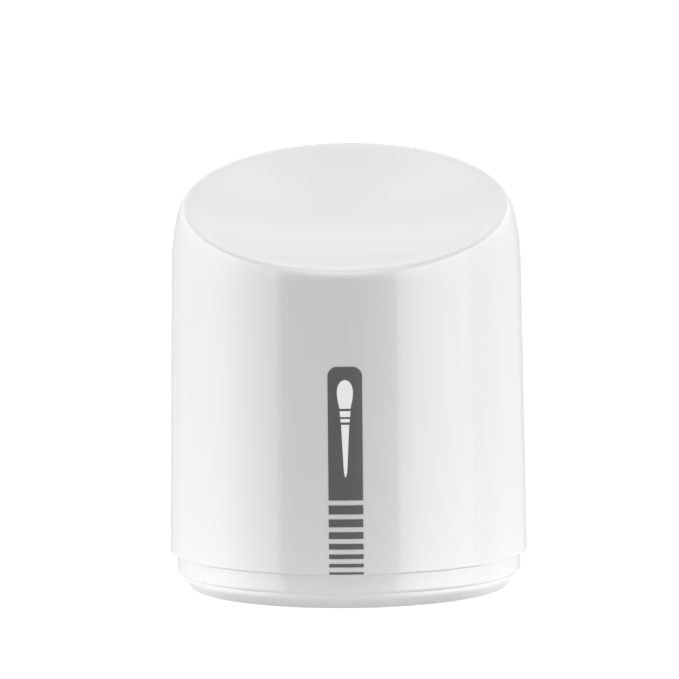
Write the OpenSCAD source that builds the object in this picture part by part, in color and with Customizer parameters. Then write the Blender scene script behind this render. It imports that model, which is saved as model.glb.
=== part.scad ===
// Desktop cleaner for make-up brushes, in millimetres.
// A tall cover with a slanted, dished top lifts straight off a low base.
// Under it a geared motor turns a ribbed scrub pad inside a wash bowl.
// +Z is up, the origin is on the axis at the bottom of the feet, and the front faces -Y.

/* [Cover] */
// Outer radius at the cover's bottom edge
cover_r = 48; // [47.5:0.1:50]
// Draft of the cover's wall, in degrees
cover_draft = 0.9; // [0.5:0.05:1.2]
// Thickness of the cover's wall
cover_wall = 2.6; // [2.2:0.1:3]
// Height of the slanted rim's plane on the axis
rim_z = 104.5; // [102:0.2:110]
// Slope of the rim's plane, in degrees, higher at the back
rim_tilt = 18.3; // [12:0.1:19]
// Depth of the dish below the rim's plane
dish_depth = 6.5; // [4:0.5:8]
// How far the shoulder leans in at the front
shoulder_in_front = 1.5; // [1.2:0.1:2]
// How far the shoulder leans in at the sides
shoulder_in_side = 4; // [3.5:0.1:5]
// How far the shoulder leans in at the back
shoulder_in_back = 10.9; // [8:0.1:12]
// Height of the shoulder's curve at the front
shoulder_h_front = 2.5; // [2:0.5:5]
// Height of the shoulder's curve at the sides
shoulder_h_side = 18.4; // [14:0.1:20]
// Height of the shoulder's curve at the back
shoulder_h_back = 20.9; // [16:0.1:22]

/* [Front strip] */
// Width of the printed strip
strip_w = 9; // [7:0.5:12]
// Height of the strip's top edge above the feet
strip_top = 64.5; // [60:0.5:70]
// Length of the solid part of the strip
strip_len = 34.9; // [30:0.1:36]
// Radius of the strip's top corners
strip_corner = 2.5; // [1:0.1:4]
// Number of bars below the strip
bar_count = 7; // [5:1:7]
// Height of the first bar
bar_first = 2.35; // [2:0.05:2.5]
// How much less high each next bar is
bar_step = 0.29; // [0.2:0.01:0.3]
// Gap between the bars
bar_gap = 1.3; // [1:0.05:1.35]

/* [Base] */
// How far the rubber feet stand out below the base plate
foot_proud = 0.4; // [0.3:0.1:0.6]
// Radius of the base plate at its bottom edge
foot_r = 42.75; // [42:0.05:43.5]
// Height of the base plate
plate_h = 4; // [3.6:0.1:4.4]
// Outer radius of the visible ring under the cover
ring_r = 46.2; // [45.8:0.1:46.6]
// Height of the visible ring
ring_h = 5.5; // [5.2:0.1:6]
// Outer radius of the housing wall inside the cover
plug_r = 44.2; // [44:0.05:44.4]
// Thickness of the housing wall
housing_wall = 2.2; // [2:0.1:2.4]

/* [Gear train] */
// Module of all gears
gear_module = 0.6; // [0.55:0.05:0.6]
// Teeth on the motor pinion
pinion_teeth = 12; // [12:1:12]
// Teeth on the large step of the compound gear
wheel_teeth = 40; // [38:1:40]
// Teeth on the small step of the compound gear
step_teeth = 14; // [14:1:15]
// Teeth on the output gear
output_teeth = 42; // [40:1:42]
// Radius of the drive shaft
shaft_r = 2.5; // [2.3:0.1:2.6]
// Radial clearance of a shaft in its bush
run_gap = 0.05; // [0.03:0.01:0.08]

/* [Wash set] */
// Radius of the turntable that carries the scrub pad
table_r = 33.5; // [30:0.5:34]
// Height of the wash bowl's rim above the feet
bowl_top = 76.6; // [75:0.2:77]
// Radius of the opening in the splash guard
guard_r = 29; // [26:0.5:32]
// Number of ribs in the pad's middle zone
pad_ribs = 24; // [16:1:30]

/* [Power button] */
// Radius of the button's cap
button_r = 6; // [5:0.1:6.2]
// Height of the button's centre above the feet
button_z = 26; // [24:0.5:27]

/* [Hidden] */
$fn = 64;

plate_z = foot_proud;               // underside of the base plate
ring_z = plate_z + plate_h;         // underside of the visible ring
cover_z = ring_z + ring_h;          // bottom edge of the cover, where it rests on the ring
floor_z = plate_z + 2.2;            // inside floor of the base
housing_top = 39.6;                 // top edge of the housing wall
housing_in = plug_r - housing_wall; // inside radius of the housing
deck_top = housing_top + 2.4;       // top face of the deck
boss_top = deck_top + 11.6;         // top of the deck's bearing boss
seal_z = deck_top + 8.6;            // underside of the shaft seal, on the upper bush's flange
bowl_floor = deck_top + 4;          // inside floor of the wash bowl
chimney_top = boss_top + 2;         // top of the bowl's chimney
table_z = chimney_top + 2;          // underside of the turntable's disc
pad_z = table_z + 1.8;              // top of the turntable's disc
white = [0.95, 0.95, 0.95];
silicone = [0.82, 0.88, 0.9];
steel = [0.72, 0.73, 0.75];
brass = [0.8, 0.66, 0.35];
board_green = [0.1, 0.36, 0.22];

// ---- Outlines --------------------------------------------------------------------------

arc_step = 15;                      // largest turn between two points of a rounded corner

function unit(v) = v / norm(v);
function flat(p) = [p[0], p[1]];
function turned(p, a) = [p[0] * cos(a) - p[1] * sin(a), p[0] * sin(a) + p[1] * cos(a)];
function arc_at(before, here, after, r) = let (a = unit(flat(before) - flat(here)),
        b = unit(flat(after) - flat(here)), half = acos(a * b) / 2,
        middle = flat(here) + unit(a + b) * r / sin(half),
        first = flat(here) + a * r / tan(half) - middle,
        last = flat(here) + b * r / tan(half) - middle,
        sweep = atan2(first[0] * last[1] - first[1] * last[0], first * last),
        count = max(2, ceil(abs(sweep) / arc_step)))
    [for (k = [0 : count]) middle + turned(first, sweep * k / count)];
// A closed outline from [x, y] corners, and [x, y, radius] corners that are rounded
function rounded(corners) = let (n = len(corners)) [for (i = [0 : n - 1]) let (c = corners[i])
    each len(c) < 3 ? [c] : arc_at(corners[(i + n - 1) % n], c, corners[(i + 1) % n], c[2])];

// ---- Cover -----------------------------------------------------------------------------
// The cover is one closed skin. For each direction around the axis a single line runs from
// the middle of the dish out over the rim, down the wall, round the bottom edge and back up
// the inside. s is the sine of the direction: -1 at the front, +1 at the back.

cover_sides = 72;   // directions around the axis
dish_edge = 2.2;    // width over which the dish rolls over into the rim
top_wall = 2.5;     // thickness of the top, measured straight down
edge_round = 0.6;   // size of the rounded bottom edge

function wall_at(z) = cover_r - (z - cover_z) * tan(cover_draft);
function shoulder_in(s) = shoulder_in_side + s * (shoulder_in_back - shoulder_in_front) / 2
    + s * s * ((shoulder_in_back + shoulder_in_front) / 2 - shoulder_in_side);
function shoulder_h(s) = s > 0
    ? shoulder_h_side + s * (shoulder_h_back - shoulder_h_side)
    : shoulder_h_side + s * (shoulder_h_back - shoulder_h_side)
        - s * s * (2 * shoulder_h_side - shoulder_h_back - shoulder_h_front);
// Radius of the rim's crest: where the drafted wall, less the shoulder, meets the rim's plane
function crest_r(s) = (cover_r - (rim_z - cover_z) * tan(cover_draft) - shoulder_in(s))
    / (1 + s * tan(rim_tilt) * tan(cover_draft));
function plane_z(r, s) = rim_z + r * s * tan(rim_tilt);
function roll_in(e) = sqrt(e * e + dish_edge * dish_edge) - dish_edge;
// Height of the dish at radius r: a shallow bowl that starts level with the rim's plane
function dish_z(r, s) = let (rc = crest_r(s), u = 1 - roll_in(rc - r) / roll_in(rc))
    plane_z(r, s) - dish_depth * (1 - u * u);

dish_steps = [0.14, 0.27, 0.4, 0.53, 0.66, 0.77, 0.86, 0.92, 0.96, 0.985, 1];
shoulder_steps = [83, 75, 66, 56, 45, 34, 22, 11, 0];
inner_steps = [0, 22, 45, 68];
under_steps = [0.97, 0.85, 0.65, 0.4, 0.2];

function dish_line(s) = [for (k = dish_steps) [k * crest_r(s), dish_z(k * crest_r(s), s)]];
// The shoulder is a quarter ellipse that leans with the rim's plane, so it meets the dish smoothly
function shoulder_line(s) = let (zc = plane_z(crest_r(s), s))
    [for (a = shoulder_steps) let (drop = shoulder_h(s) * (1 - sin(a)),
            r = wall_at(zc - drop) - shoulder_in(s) * (1 - cos(a))) [r, plane_z(r, s) - drop]];
function edge_line() = [[wall_at(cover_z + edge_round), cover_z + edge_round],
    [cover_r - edge_round * 0.3, cover_z + edge_round * 0.3], [cover_r - edge_round, cover_z],
    [cover_r - cover_wall, cover_z]];
function inner_line(s) = let (zc = plane_z(crest_r(s), s), r1 = crest_r(s) - 3,
        low = shoulder_h(s) + 1, high = plane_z(r1, s) - dish_z(r1, s) + top_wall)
    [for (a = inner_steps) let (drop = low * (1 - sin(a)) + high * sin(a),
            r = r1 + (wall_at(zc - drop) - cover_wall - r1) * cos(a)) [r, plane_z(r, s) - drop]];
function under_line(s) = let (r1 = crest_r(s) - 3)
    [for (k = under_steps) [k * r1, dish_z(k * r1, s) - top_wall]];
function cover_line(s) = concat(dish_line(s), shoulder_line(s), edge_line(), inner_line(s),
    under_line(s));

module cover() {
    lines = [for (i = [0 : cover_sides - 1]) cover_line(sin(i * 360 / cover_sides))];
    rows = len(lines[0]);
    points = concat([[0, 0, rim_z - dish_depth]],
        [for (k = [0 : rows - 1], i = [0 : cover_sides - 1])
            let (a = i * 360 / cover_sides, q = lines[i][k]) [q[0] * cos(a), q[0] * sin(a), q[1]]],
        [[0, 0, rim_z - dish_depth - top_wall]]);
    function at(k, i) = 1 + k * cover_sides + i % cover_sides;
    last = len(points) - 1;
    faces = concat([for (i = [0 : cover_sides - 1]) [0, at(0, i + 1), at(0, i)]],
        [for (k = [0 : rows - 2], i = [0 : cover_sides - 1], half = [0, 1])
            half == 0 ? [at(k, i), at(k, i + 1), at(k + 1, i)]
                : [at(k, i + 1), at(k + 1, i + 1), at(k + 1, i)]],
        [for (i = [0 : cover_sides - 1]) [last, at(rows - 1, i), at(rows - 1, i + 1)]]);
    color(white) polyhedron(points, faces, convexity = 6);
}

// ---- Printed strip ---------------------------------------------------------------------

strip_gap = 0.06;    // film's distance from the cover's skin
strip_film = 0.12;   // thickness of the printed film
strip_bottom = strip_top - strip_len;

// A small brush left open in the print: bristles on top, a ferrule band and a tapered handle
module brush_mark() {
    length = 25.5;
    wide = 2.3;
    translate([0, strip_top - 3.4 - length]) {
        polygon([[0, 0], [0.46 * wide, 0.53 * length], [-0.46 * wide, 0.53 * length]]);
        translate([-0.56 * wide, 0.57 * length]) square([1.12 * wide, 0.09 * length]);
        intersection() {
            translate([0, 0.82 * length]) scale([0.5, 1]) circle(r = 2 * wide, $fn = 48);
            translate([-wide, 0.7 * length]) square([2 * wide, length]);
        }
    }
}

module strip_outline() {
    difference() {
        union() {
            translate([-strip_w / 2, strip_bottom]) square([strip_w, strip_len - strip_corner]);
            translate([-strip_w / 2 + strip_corner, strip_bottom])
                square([strip_w - 2 * strip_corner, strip_len]);
            for (side = [-1, 1])
                translate([side * (strip_w / 2 - strip_corner), strip_top - strip_corner])
                    circle(r = strip_corner);
        }
        brush_mark();
    }
    for (i = [0 : bar_count - 1]) {
        height = bar_first - i * bar_step;
        drop = (i + 1) * bar_gap + i * bar_first - bar_step * i * (i - 1) / 2 + height;
        translate([-strip_w / 2, strip_bottom - drop]) square([strip_w, height]);
    }
}

module drafted_skin(offset) {
    height = strip_top + 2 - cover_z;
    translate([0, 0, cover_z]) cylinder(r1 = cover_r + offset,
        r2 = wall_at(cover_z + height) + offset, h = height, $fn = 144);
}

module front_strip() {
    color([0.4, 0.4, 0.4]) intersection() {
        difference() {
            drafted_skin(strip_gap + strip_film);
            drafted_skin(strip_gap);
        }
        translate([0, -40, 0]) rotate([90, 0, 0]) linear_extrude(12) strip_outline();
    }
}

// ---- Base ------------------------------------------------------------------------------

screw_ring = 38.2;                  // distance of the case screws from the axis
base_screw_angles = [18, 122, 238, 342];
deck_screw_angles = [90, 210, 330];
foot_angles = [45, 135, 225, 315];
foot_ring = 33;
pad_foot_r = 5;
screw_head_r = 2.6;
screw_head_h = 1.2;
screw_shank_r = 1.2;
ear_top = 37;                       // top of the housing's ears, where the deck's bosses land
ear_h = 2.6;

module around(angles, radius) {
    for (a = angles) rotate(a) translate([radius, 0, 0]) children();
}

module base_plate() {
    top_r = 45;
    rim_in = housing_in + 0.5;
    color([0.9, 0.9, 0.9]) difference() {
        union() {
            rotate_extrude($fn = 96) polygon(rounded([[0, plate_z], [foot_r - 0.25, plate_z, 0.7],
                [top_r - 0.1, ring_z - 1.1, 2.5], [top_r, ring_z], [rim_in, ring_z],
                [rim_in, floor_z], [0, floor_z]]));
            for (x = [-8, 8], y = [26, 37]) translate([x, y, floor_z - 0.5])
                cylinder(r = 2, h = board_z - floor_z + 0.5, $fn = 24);
            for (a = [0 : 60 : 300]) rotate(a) translate([8, -0.6, floor_z - 0.5])
                cube([4, 1.2, 1.5]);
        }
        around(base_screw_angles, screw_ring) {
            translate([0, 0, plate_z - 1]) cylinder(r = screw_head_r + 0.3, h = 2.2, $fn = 32);
            translate([0, 0, plate_z - 1]) cylinder(r = 1.5, h = 5, $fn = 24);
        }
        around(foot_angles, foot_ring) translate([0, 0, plate_z - 1])
            cylinder(r = pad_foot_r + 0.1, h = 1.8, $fn = 32);
    }
}

module rubber_feet() {
    color([0.25, 0.25, 0.26]) around(foot_angles, foot_ring)
        cylinder(r = pad_foot_r, h = plate_z + 0.8, $fn = 32);
}

module slot_y(half_width, r, depth) {
    for (side = [-1, 1]) translate([side * (half_width - r), 0, 0]) rotate([-90, 0, 0])
        cylinder(r = r, h = depth, $fn = 32);
    translate([-(half_width - r), 0, -r]) cube([2 * (half_width - r), depth, 2 * r]);
}

module lower_housing() {
    ring_round = 0.5;
    under_round = 1.1;
    boss_h = 12.4;
    rib_x = 8.2;
    color(white) difference() {
        union() {
            rotate_extrude($fn = 128) polygon(rounded([[housing_in, ring_z],
                [ring_r, ring_z, under_round], [ring_r, cover_z, ring_round], [plug_r, cover_z, 0.5],
                [plug_r, housing_top, 0.3], [housing_in, housing_top]]));
            around(base_screw_angles, screw_ring) translate([0, 0, floor_z])
                cylinder(r = 4.2, h = boss_h, $fn = 32);
            around(deck_screw_angles, screw_ring) translate([0, 0, ear_top - ear_h])
                cylinder(r = 4.2, h = ear_h, $fn = 32);
            for (side = [-1, 1]) translate([side * rib_x - (side < 0 ? 2 : 0), -41.4, 16])
                cube([2, 7.4, 18]);
        }
        around(base_screw_angles, screw_ring) translate([0, 0, floor_z - 1])
            cylinder(r = screw_shank_r + 0.05, h = 10, $fn = 24);
        around(deck_screw_angles, screw_ring) translate([0, 0, ear_top - ear_h - 1])
            cylinder(r = 1.6, h = ear_h + 2, $fn = 24);
        translate([0, 40, socket_z]) slot_y(4.8, 1.9, 8);
        translate([lamp_x, 40, socket_z]) rotate([-90, 0, 0]) cylinder(r = 1.1, h = 8, $fn = 24);
        translate([0, -38, button_z]) rotate([90, 0, 0])
            cylinder(r = button_r + 0.25, h = 8, $fn = 48);
        difference() {
            translate([0, 0, housing_top - 0.8]) cylinder(r = plug_r - 1, h = 1, $fn = 96);
            translate([0, 0, housing_top - 1]) cylinder(r = housing_in + 0.3, h = 2, $fn = 96);
        }
    }
}

module deck_gasket() {
    color(silicone) rotate_extrude($fn = 96)
        translate([housing_in + 0.4, housing_top - 0.8]) square([0.7, 0.8]);
}

screw_len = 6;

// A pan-head self-tapping screw, head down, its shank pointing up from z = 0
module case_screw() {
    difference() {
        translate([0, 0, -screw_head_h]) cylinder(r = screw_head_r, h = screw_head_h, $fn = 32);
        for (turn = [0, 90]) rotate(turn) translate([-1.6, -0.3, -screw_head_h - 0.1])
            cube([3.2, 0.6, 0.7]);
    }
    cylinder(r = screw_shank_r, h = screw_len, $fn = 24);
}

module case_screws() {
    color(steel) {
        around(base_screw_angles, screw_ring) translate([0, 0, plate_z + 1.2]) case_screw();
        around(deck_screw_angles, screw_ring) translate([0, 0, ear_top - ear_h]) case_screw();
        for (p = post_places) translate([p[0], p[1], gear_plate_z]) case_screw();
    }
}

module top_deck() {
    post_bottom = gear_plate_z + gear_plate_t;
    color(white) difference() {
        union() {
            translate([0, 0, housing_top]) cylinder(r = plug_r, h = deck_top - housing_top,
                $fn = 128);
            difference() {
                translate([0, 0, housing_top - 2]) cylinder(r = housing_in - 0.2, h = 3, $fn = 96);
                translate([0, 0, housing_top - 3]) cylinder(r = housing_in - 1.8, h = 3, $fn = 96);
            }
            difference() {
                translate([0, 0, deck_top - 1]) cylinder(r = 37.4, h = 2.4, $fn = 96);
                translate([0, 0, deck_top]) cylinder(r = 36, h = 4, $fn = 96);
            }
            translate([0, 0, deck_top - 1]) cylinder(r = 5.8, h = boss_top - deck_top + 1);
            around(deck_screw_angles, screw_ring) translate([0, 0, ear_top])
                cylinder(r = 3.4, h = housing_top - ear_top + 1, $fn = 32);
            for (p = post_places) translate([p[0], p[1], post_bottom])
                cylinder(r = 3.2, h = housing_top - post_bottom + 1, $fn = 32);
            translate([wheel_at[0], wheel_at[1], housing_top - 3.2])
                cylinder(r = 3.2, h = 4, $fn = 32);
        }
        translate([0, 0, housing_top - 1]) cylinder(r = shaft_r + 0.4, h = 20, $fn = 32);
        translate([0, 0, deck_top + 2]) cylinder(r = bush_r, h = 20, $fn = 48);
        around(deck_screw_angles, screw_ring) translate([0, 0, ear_top - 1])
            cylinder(r = screw_shank_r + 0.05, h = 5, $fn = 24);
        for (p = post_places) translate([p[0], p[1], post_bottom - 1])
            cylinder(r = screw_shank_r + 0.05, h = 9, $fn = 24);
        translate([wheel_at[0], wheel_at[1], housing_top - 4])
            cylinder(r = axle_r + 0.02, h = 3.4, $fn = 32);
    }
}

// ---- Drive -----------------------------------------------------------------------------

pressure_angle = 25;
backlash = 0.08;                    // taken off each tooth's width
gear_slack = 0.04;                  // added to each centre distance
wheel_turn = 150;                   // direction from the drive shaft to the compound gear
motor_turn = 250;                   // direction from the compound gear to the motor
wheel_reach = (output_teeth + step_teeth) * gear_module / 2 + gear_slack;
motor_reach = (wheel_teeth + pinion_teeth) * gear_module / 2 + gear_slack;
wheel_at = wheel_reach * [cos(wheel_turn), sin(wheel_turn)];
motor_at = wheel_at + motor_reach * [cos(motor_turn), sin(motor_turn)];
gear_plate_z = 24.4;
gear_plate_t = 2;
wheel_z = 27.5;
wheel_t = 2.8;
output_z = 31.2;
output_t = 3.2;
axle_r = 1.5;
bush_r = 4;
motor_r = 12.2;
motor_h = 18;
motor_shaft_r = 1;
motor_screw_reach = 8;
post_places = [[14, 18], [-6, -25], [-31, 16]];

function involute(rb, a) = rb * [cos(a) + a * PI / 180 * sin(a), sin(a) - a * PI / 180 * cos(a)];
// One flank of a tooth centred on +X, from root to tip
function flank(teeth) = let (rp = teeth * gear_module / 2, rb = rp * cos(pressure_angle),
        root = rp - 1.25 * gear_module, tip = rp + 0.95 * gear_module,
        start = acos(min(1, rb / max(rb, root))),
        half = 90 / teeth - backlash * 90 / (PI * rp)
            + (tan(pressure_angle) - pressure_angle * PI / 180) * 180 / PI,
        a1 = tan(acos(rb / tip)) * 180 / PI, a0 = tan(start) * 180 / PI)
    concat(rb > root ? [turned([root, 0], -half)] : [],
        [for (k = [0 : 4]) turned(involute(rb, a0 + (a1 - a0) * k / 4), -half)]);
function mirrored(line) = [for (k = [len(line) - 1 : -1 : 0]) [line[k][0], -line[k][1]]];
function gear_points(teeth) = let (side = flank(teeth), tooth = concat(side, mirrored(side)))
    [for (i = [0 : teeth - 1], p = tooth) turned(p, i * 360 / teeth)];

module gear(teeth, thick) {
    linear_extrude(thick) polygon(gear_points(teeth));
}

module arm(a, b, width) {
    way = b - a;
    translate([a[0], a[1]]) rotate(atan2(way[1], way[0])) translate([0, -width / 2])
        square([norm(way), width]);
}

module gear_plate() {
    color(steel) translate([0, 0, gear_plate_z]) difference() {
        linear_extrude(gear_plate_t) {
            circle(r = 8.5);
            translate(wheel_at) circle(r = 7);
            translate(motor_at) circle(r = 11.5);
            arm([0, 0], wheel_at, 10);
            arm(wheel_at, motor_at, 12);
            arm([0, 0], motor_at, 12);
            arm([0, 0], post_places[0], 8);
            arm(motor_at, post_places[1], 8);
            arm(wheel_at, post_places[2], 8);
            for (p = post_places) translate(p) circle(r = 4.4);
        }
        translate([0, 0, -1]) cylinder(r = bush_r, h = 4, $fn = 48);
        translate([wheel_at[0], wheel_at[1], -1]) cylinder(r = axle_r, h = 4, $fn = 32);
        translate([motor_at[0], motor_at[1], -1]) cylinder(r = 3.2, h = 4, $fn = 32);
        for (p = post_places) translate([p[0], p[1], -1]) cylinder(r = 1.4, h = 4, $fn = 24);
        motor_screw_places() translate([0, 0, -1]) cylinder(r = 1.1, h = 4, $fn = 24);
    }
}

// The two screws of the motor sit across the line to the compound gear
module motor_screw_places() {
    for (side = [-1, 1]) translate(motor_at) rotate(motor_turn + side * 90)
        translate([motor_screw_reach, 0]) children();
}

module motor_can() {
    bottom = gear_plate_z - motor_h;
    color([0.66, 0.67, 0.69]) difference() {
        union() {
            translate([motor_at[0], motor_at[1], bottom]) {
                cylinder(r = motor_r, h = motor_h, $fn = 96);
                translate([0, 0, motor_h - 1]) cylinder(r = 3, h = 2.6, $fn = 32);
                translate([0, 0, -1.2]) cylinder(r = 3, h = 2, $fn = 32);
                for (side = [-1, 1]) translate([side * 7 - 1, -0.25, -2]) cube([2, 0.5, 3]);
            }
        }
        translate([motor_at[0], motor_at[1], 10]) cylinder(r = motor_shaft_r + run_gap, h = 30,
            $fn = 24);
        motor_screw_places() translate([0, 0, gear_plate_z - 3]) cylinder(r = 0.85, h = 4, $fn = 24);
        translate([motor_at[0], motor_at[1], bottom + 3.6]) difference() {
            cylinder(r = motor_r + 1, h = 0.5, $fn = 96);
            cylinder(r = motor_r - 0.3, h = 0.5, $fn = 96);
        }
    }
}

module motor_screws() {
    color(steel) motor_screw_places() {
        translate([0, 0, gear_plate_z - 2.6]) cylinder(r = 0.8, h = 2.8 + gear_plate_t, $fn = 24);
        difference() {
            translate([0, 0, gear_plate_z + gear_plate_t]) cylinder(r = 1.8, h = 1, $fn = 24);
            translate([-1.2, -0.2, gear_plate_z + gear_plate_t + 0.5]) cube([2.4, 0.4, 1]);
        }
    }
}

module motor_shaft() {
    color(steel) translate([motor_at[0], motor_at[1], 12])
        cylinder(r = motor_shaft_r, h = wheel_z + wheel_t + 0.4 - 12, $fn = 24);
}

module motor_pinion() {
    color(brass) translate([motor_at[0], motor_at[1], wheel_z - 0.4])
        rotate(motor_turn + 180 + 180 / pinion_teeth) difference() {
            gear(pinion_teeth, wheel_t + 0.8);
            translate([0, 0, -1]) cylinder(r = motor_shaft_r, h = 6, $fn = 24);
        }
}

module gear_axle() {
    color(steel) translate([wheel_at[0], wheel_at[1], gear_plate_z])
        cylinder(r = axle_r, h = housing_top - 0.8 - gear_plate_z, $fn = 32);
}

module compound_gear() {
    color([0.93, 0.92, 0.86]) translate([wheel_at[0], wheel_at[1], 0]) difference() {
        union() {
            translate([0, 0, wheel_z]) rotate(motor_turn) gear(wheel_teeth, wheel_t);
            translate([0, 0, wheel_z + wheel_t - 0.1]) rotate(wheel_turn + 180 + 180 / step_teeth)
                gear(step_teeth, output_z + output_t + 0.7 - wheel_z - wheel_t);
        }
        translate([0, 0, wheel_z - 1]) cylinder(r = axle_r + run_gap, h = 20, $fn = 32);
        for (a = [0 : 72 : 288]) rotate(a) translate([7.6, 0, wheel_z - 1])
            cylinder(r = 1.8, h = 6, $fn = 24);
    }
}

module drive_gear() {
    color([0.93, 0.92, 0.86]) difference() {
        union() {
            translate([0, 0, output_z]) rotate(wheel_turn) gear(output_teeth, output_t);
            translate([0, 0, output_z + 1]) cylinder(r = 5, h = output_t + 2, $fn = 48);
        }
        translate([0, 0, output_z - 1]) cylinder(r = shaft_r, h = 9, $fn = 48);
        for (a = [0 : 60 : 300]) rotate(a) translate([8.4, 0, output_z - 1])
            cylinder(r = 2, h = 6, $fn = 24);
    }
}

dog_top = chimney_top + 6;          // top of the shaft's six-sided driving end
clip_z = gear_plate_z - 1.2;

module drive_shaft() {
    bottom = clip_z - 0.8;
    color(steel) difference() {
        union() {
            translate([0, 0, bottom]) cylinder(r = shaft_r, h = chimney_top - bottom, $fn = 48);
            cylinder(r = shaft_r, h = dog_top, $fn = 6);
        }
        difference() {
            translate([0, 0, clip_z - 0.05]) cylinder(r = shaft_r + 1, h = 0.9, $fn = 48);
            translate([0, 0, clip_z - 1]) cylinder(r = shaft_r - 0.5, h = 3, $fn = 32);
        }
        translate([0, 0, -1]) cylinder(r = shaft_r + 1, h = bottom + 1, $fn = 48);
    }
}

module shaft_clip() {
    color([0.3, 0.3, 0.32]) translate([0, 0, clip_z]) difference() {
        cylinder(r = 4.4, h = 0.8, $fn = 48);
        translate([0, 0, -1]) cylinder(r = shaft_r - 0.45, h = 3, $fn = 32);
        translate([-1.6, 0, -1]) cube([3.2, 8, 3]);
    }
}

// A bush round the drive shaft, with a flange of its own radius on top where flange_t isn't 0
module bush(bottom, length, flange_r, flange_t) {
    bore_r = shaft_r + run_gap;
    color(brass) translate([0, 0, bottom]) rotate_extrude($fn = 48)
        polygon([[bore_r, 0], [bush_r, 0], [bush_r, length], [flange_r, length],
            [flange_r, length + flange_t], [bore_r, length + flange_t]]);
}

module lower_bush() {
    bush(gear_plate_z, gear_plate_t, 5.4, 0.5);
}

module upper_bush() {
    bottom = deck_top + 2;
    flange_t = 0.3;
    bush(bottom, seal_z - flange_t - bottom, bush_r - 0.3, flange_t);
}

module shaft_seal() {
    color([0.15, 0.15, 0.16]) rotate_extrude($fn = 48) polygon([[shaft_r + run_gap, seal_z + 1.2],
        [shaft_r + 0.7, seal_z], [bush_r, seal_z], [bush_r, boss_top], [shaft_r + 0.7, boss_top],
        [shaft_r + run_gap, seal_z + 1.8]]);
}

// ---- Electronics and button --------------------------------------------------------------

board_z = 4.5;
board_t = 1;
socket_w = 8.94;
socket_h = 3.26;
socket_z = board_z + board_t + socket_h / 2;
socket_front = 45.2;
socket_len = 7.6;
lamp_x = 9;
switch_y = -38.9;                   // front face of the switch's body
flange_y = -40.2;                   // rear face of the button's flange

module circuit_board() {
    color(board_green) difference() {
        union() {
            translate([-11, 20, board_z]) cube([22, 20, board_t]);
            translate([-7, 22, board_z]) cube([6, 6, board_t + 1]);
            translate([2.5, 22.5, board_z]) cube([6.5, 4, board_t + 2.6]);
            for (x = [-9.5, -7.5, -5.5]) translate([x, 31, board_z]) cube([1.1, 2, board_t + 0.7]);
            translate([3.5, 31, board_z]) cylinder(r = 2.4, h = board_t + 4.4, $fn = 32);
        }
        for (x = [-8, 8], y = [26, 37]) translate([x, y, board_z - 1])
            cylinder(r = 0.8, h = 3, $fn = 24);
    }
}

module charge_socket() {
    wall = 0.35;
    color(steel) translate([0, socket_front - socket_len, socket_z]) {
        difference() {
            slot_y(socket_w / 2, socket_h / 2, socket_len);
            translate([0, 1.2, 0]) slot_y(socket_w / 2 - wall, socket_h / 2 - wall, socket_len);
        }
        translate([-3.3, 1, -0.35]) cube([6.6, socket_len - 2.2, 0.7]);
    }
}

module charge_lamp() {
    color([0.9, 0.95, 0.9]) {
        translate([lamp_x, 38, socket_z]) rotate([-90, 0, 0]) cylinder(r = 1, h = 7, $fn = 24);
        translate([lamp_x - 1.2, 36.4, board_z + board_t]) cube([2.4, 2.2, 2.6]);
    }
}

module switch_board() {
    color(board_green) translate([-8, switch_y + 3, button_z - 7]) cube([16, 1, 14]);
}

module tact_switch() {
    color([0.16, 0.16, 0.17]) difference() {
        translate([-3, switch_y, button_z - 3]) cube([6, 3, 6]);
        translate([0, switch_y - 1, button_z]) rotate([-90, 0, 0]) cylinder(r = 1.9, h = 3.4,
            $fn = 32);
    }
}

module switch_plunger() {
    color([0.8, 0.3, 0.25]) translate([0, flange_y, button_z]) rotate([-90, 0, 0])
        cylinder(r = 1.6, h = 2.4, $fn = 32);
}

module power_button() {
    face_y = -43.7;
    cap = flange_y - face_y;
    color([0.85, 0.86, 0.87]) translate([0, flange_y, button_z]) rotate([90, 0, 0])
        rotate_extrude($fn = 64) polygon(rounded([[0, 0], [button_r + 0.9, 0],
            [button_r + 0.9, 1, 0.2], [button_r, 1], [button_r, cap, 0.6], [2.6, cap],
            [2.6, cap - 0.4], [2, cap - 0.4], [2, cap], [0, cap]]));
}

cell_r = 7;
cell_len = 50;
cell_x = 22;
cell_z = 13.6;

module cell_body(extra) {
    translate([cell_x, -cell_len / 2 - extra, cell_z]) rotate([-90, 0, 0])
        cylinder(r = cell_r + extra, h = cell_len + 2 * extra, $fn = 64);
}

module battery_cell() {
    color([0.15, 0.45, 0.75]) {
        cell_body(0);
        translate([cell_x, cell_len / 2, cell_z]) rotate([-90, 0, 0])
            cylinder(r = 2.6, h = 1, $fn = 32);
    }
}

module battery_cradle() {
    color([0.2, 0.2, 0.22]) difference() {
        union() {
            translate([cell_x - 7.5, -26, floor_z]) cube([15, 52, 1.6]);
            for (y = [-18, 15]) translate([cell_x - 8, y, floor_z]) cube([16, 3, 13]);
        }
        cell_body(0.1);
    }
}

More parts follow.
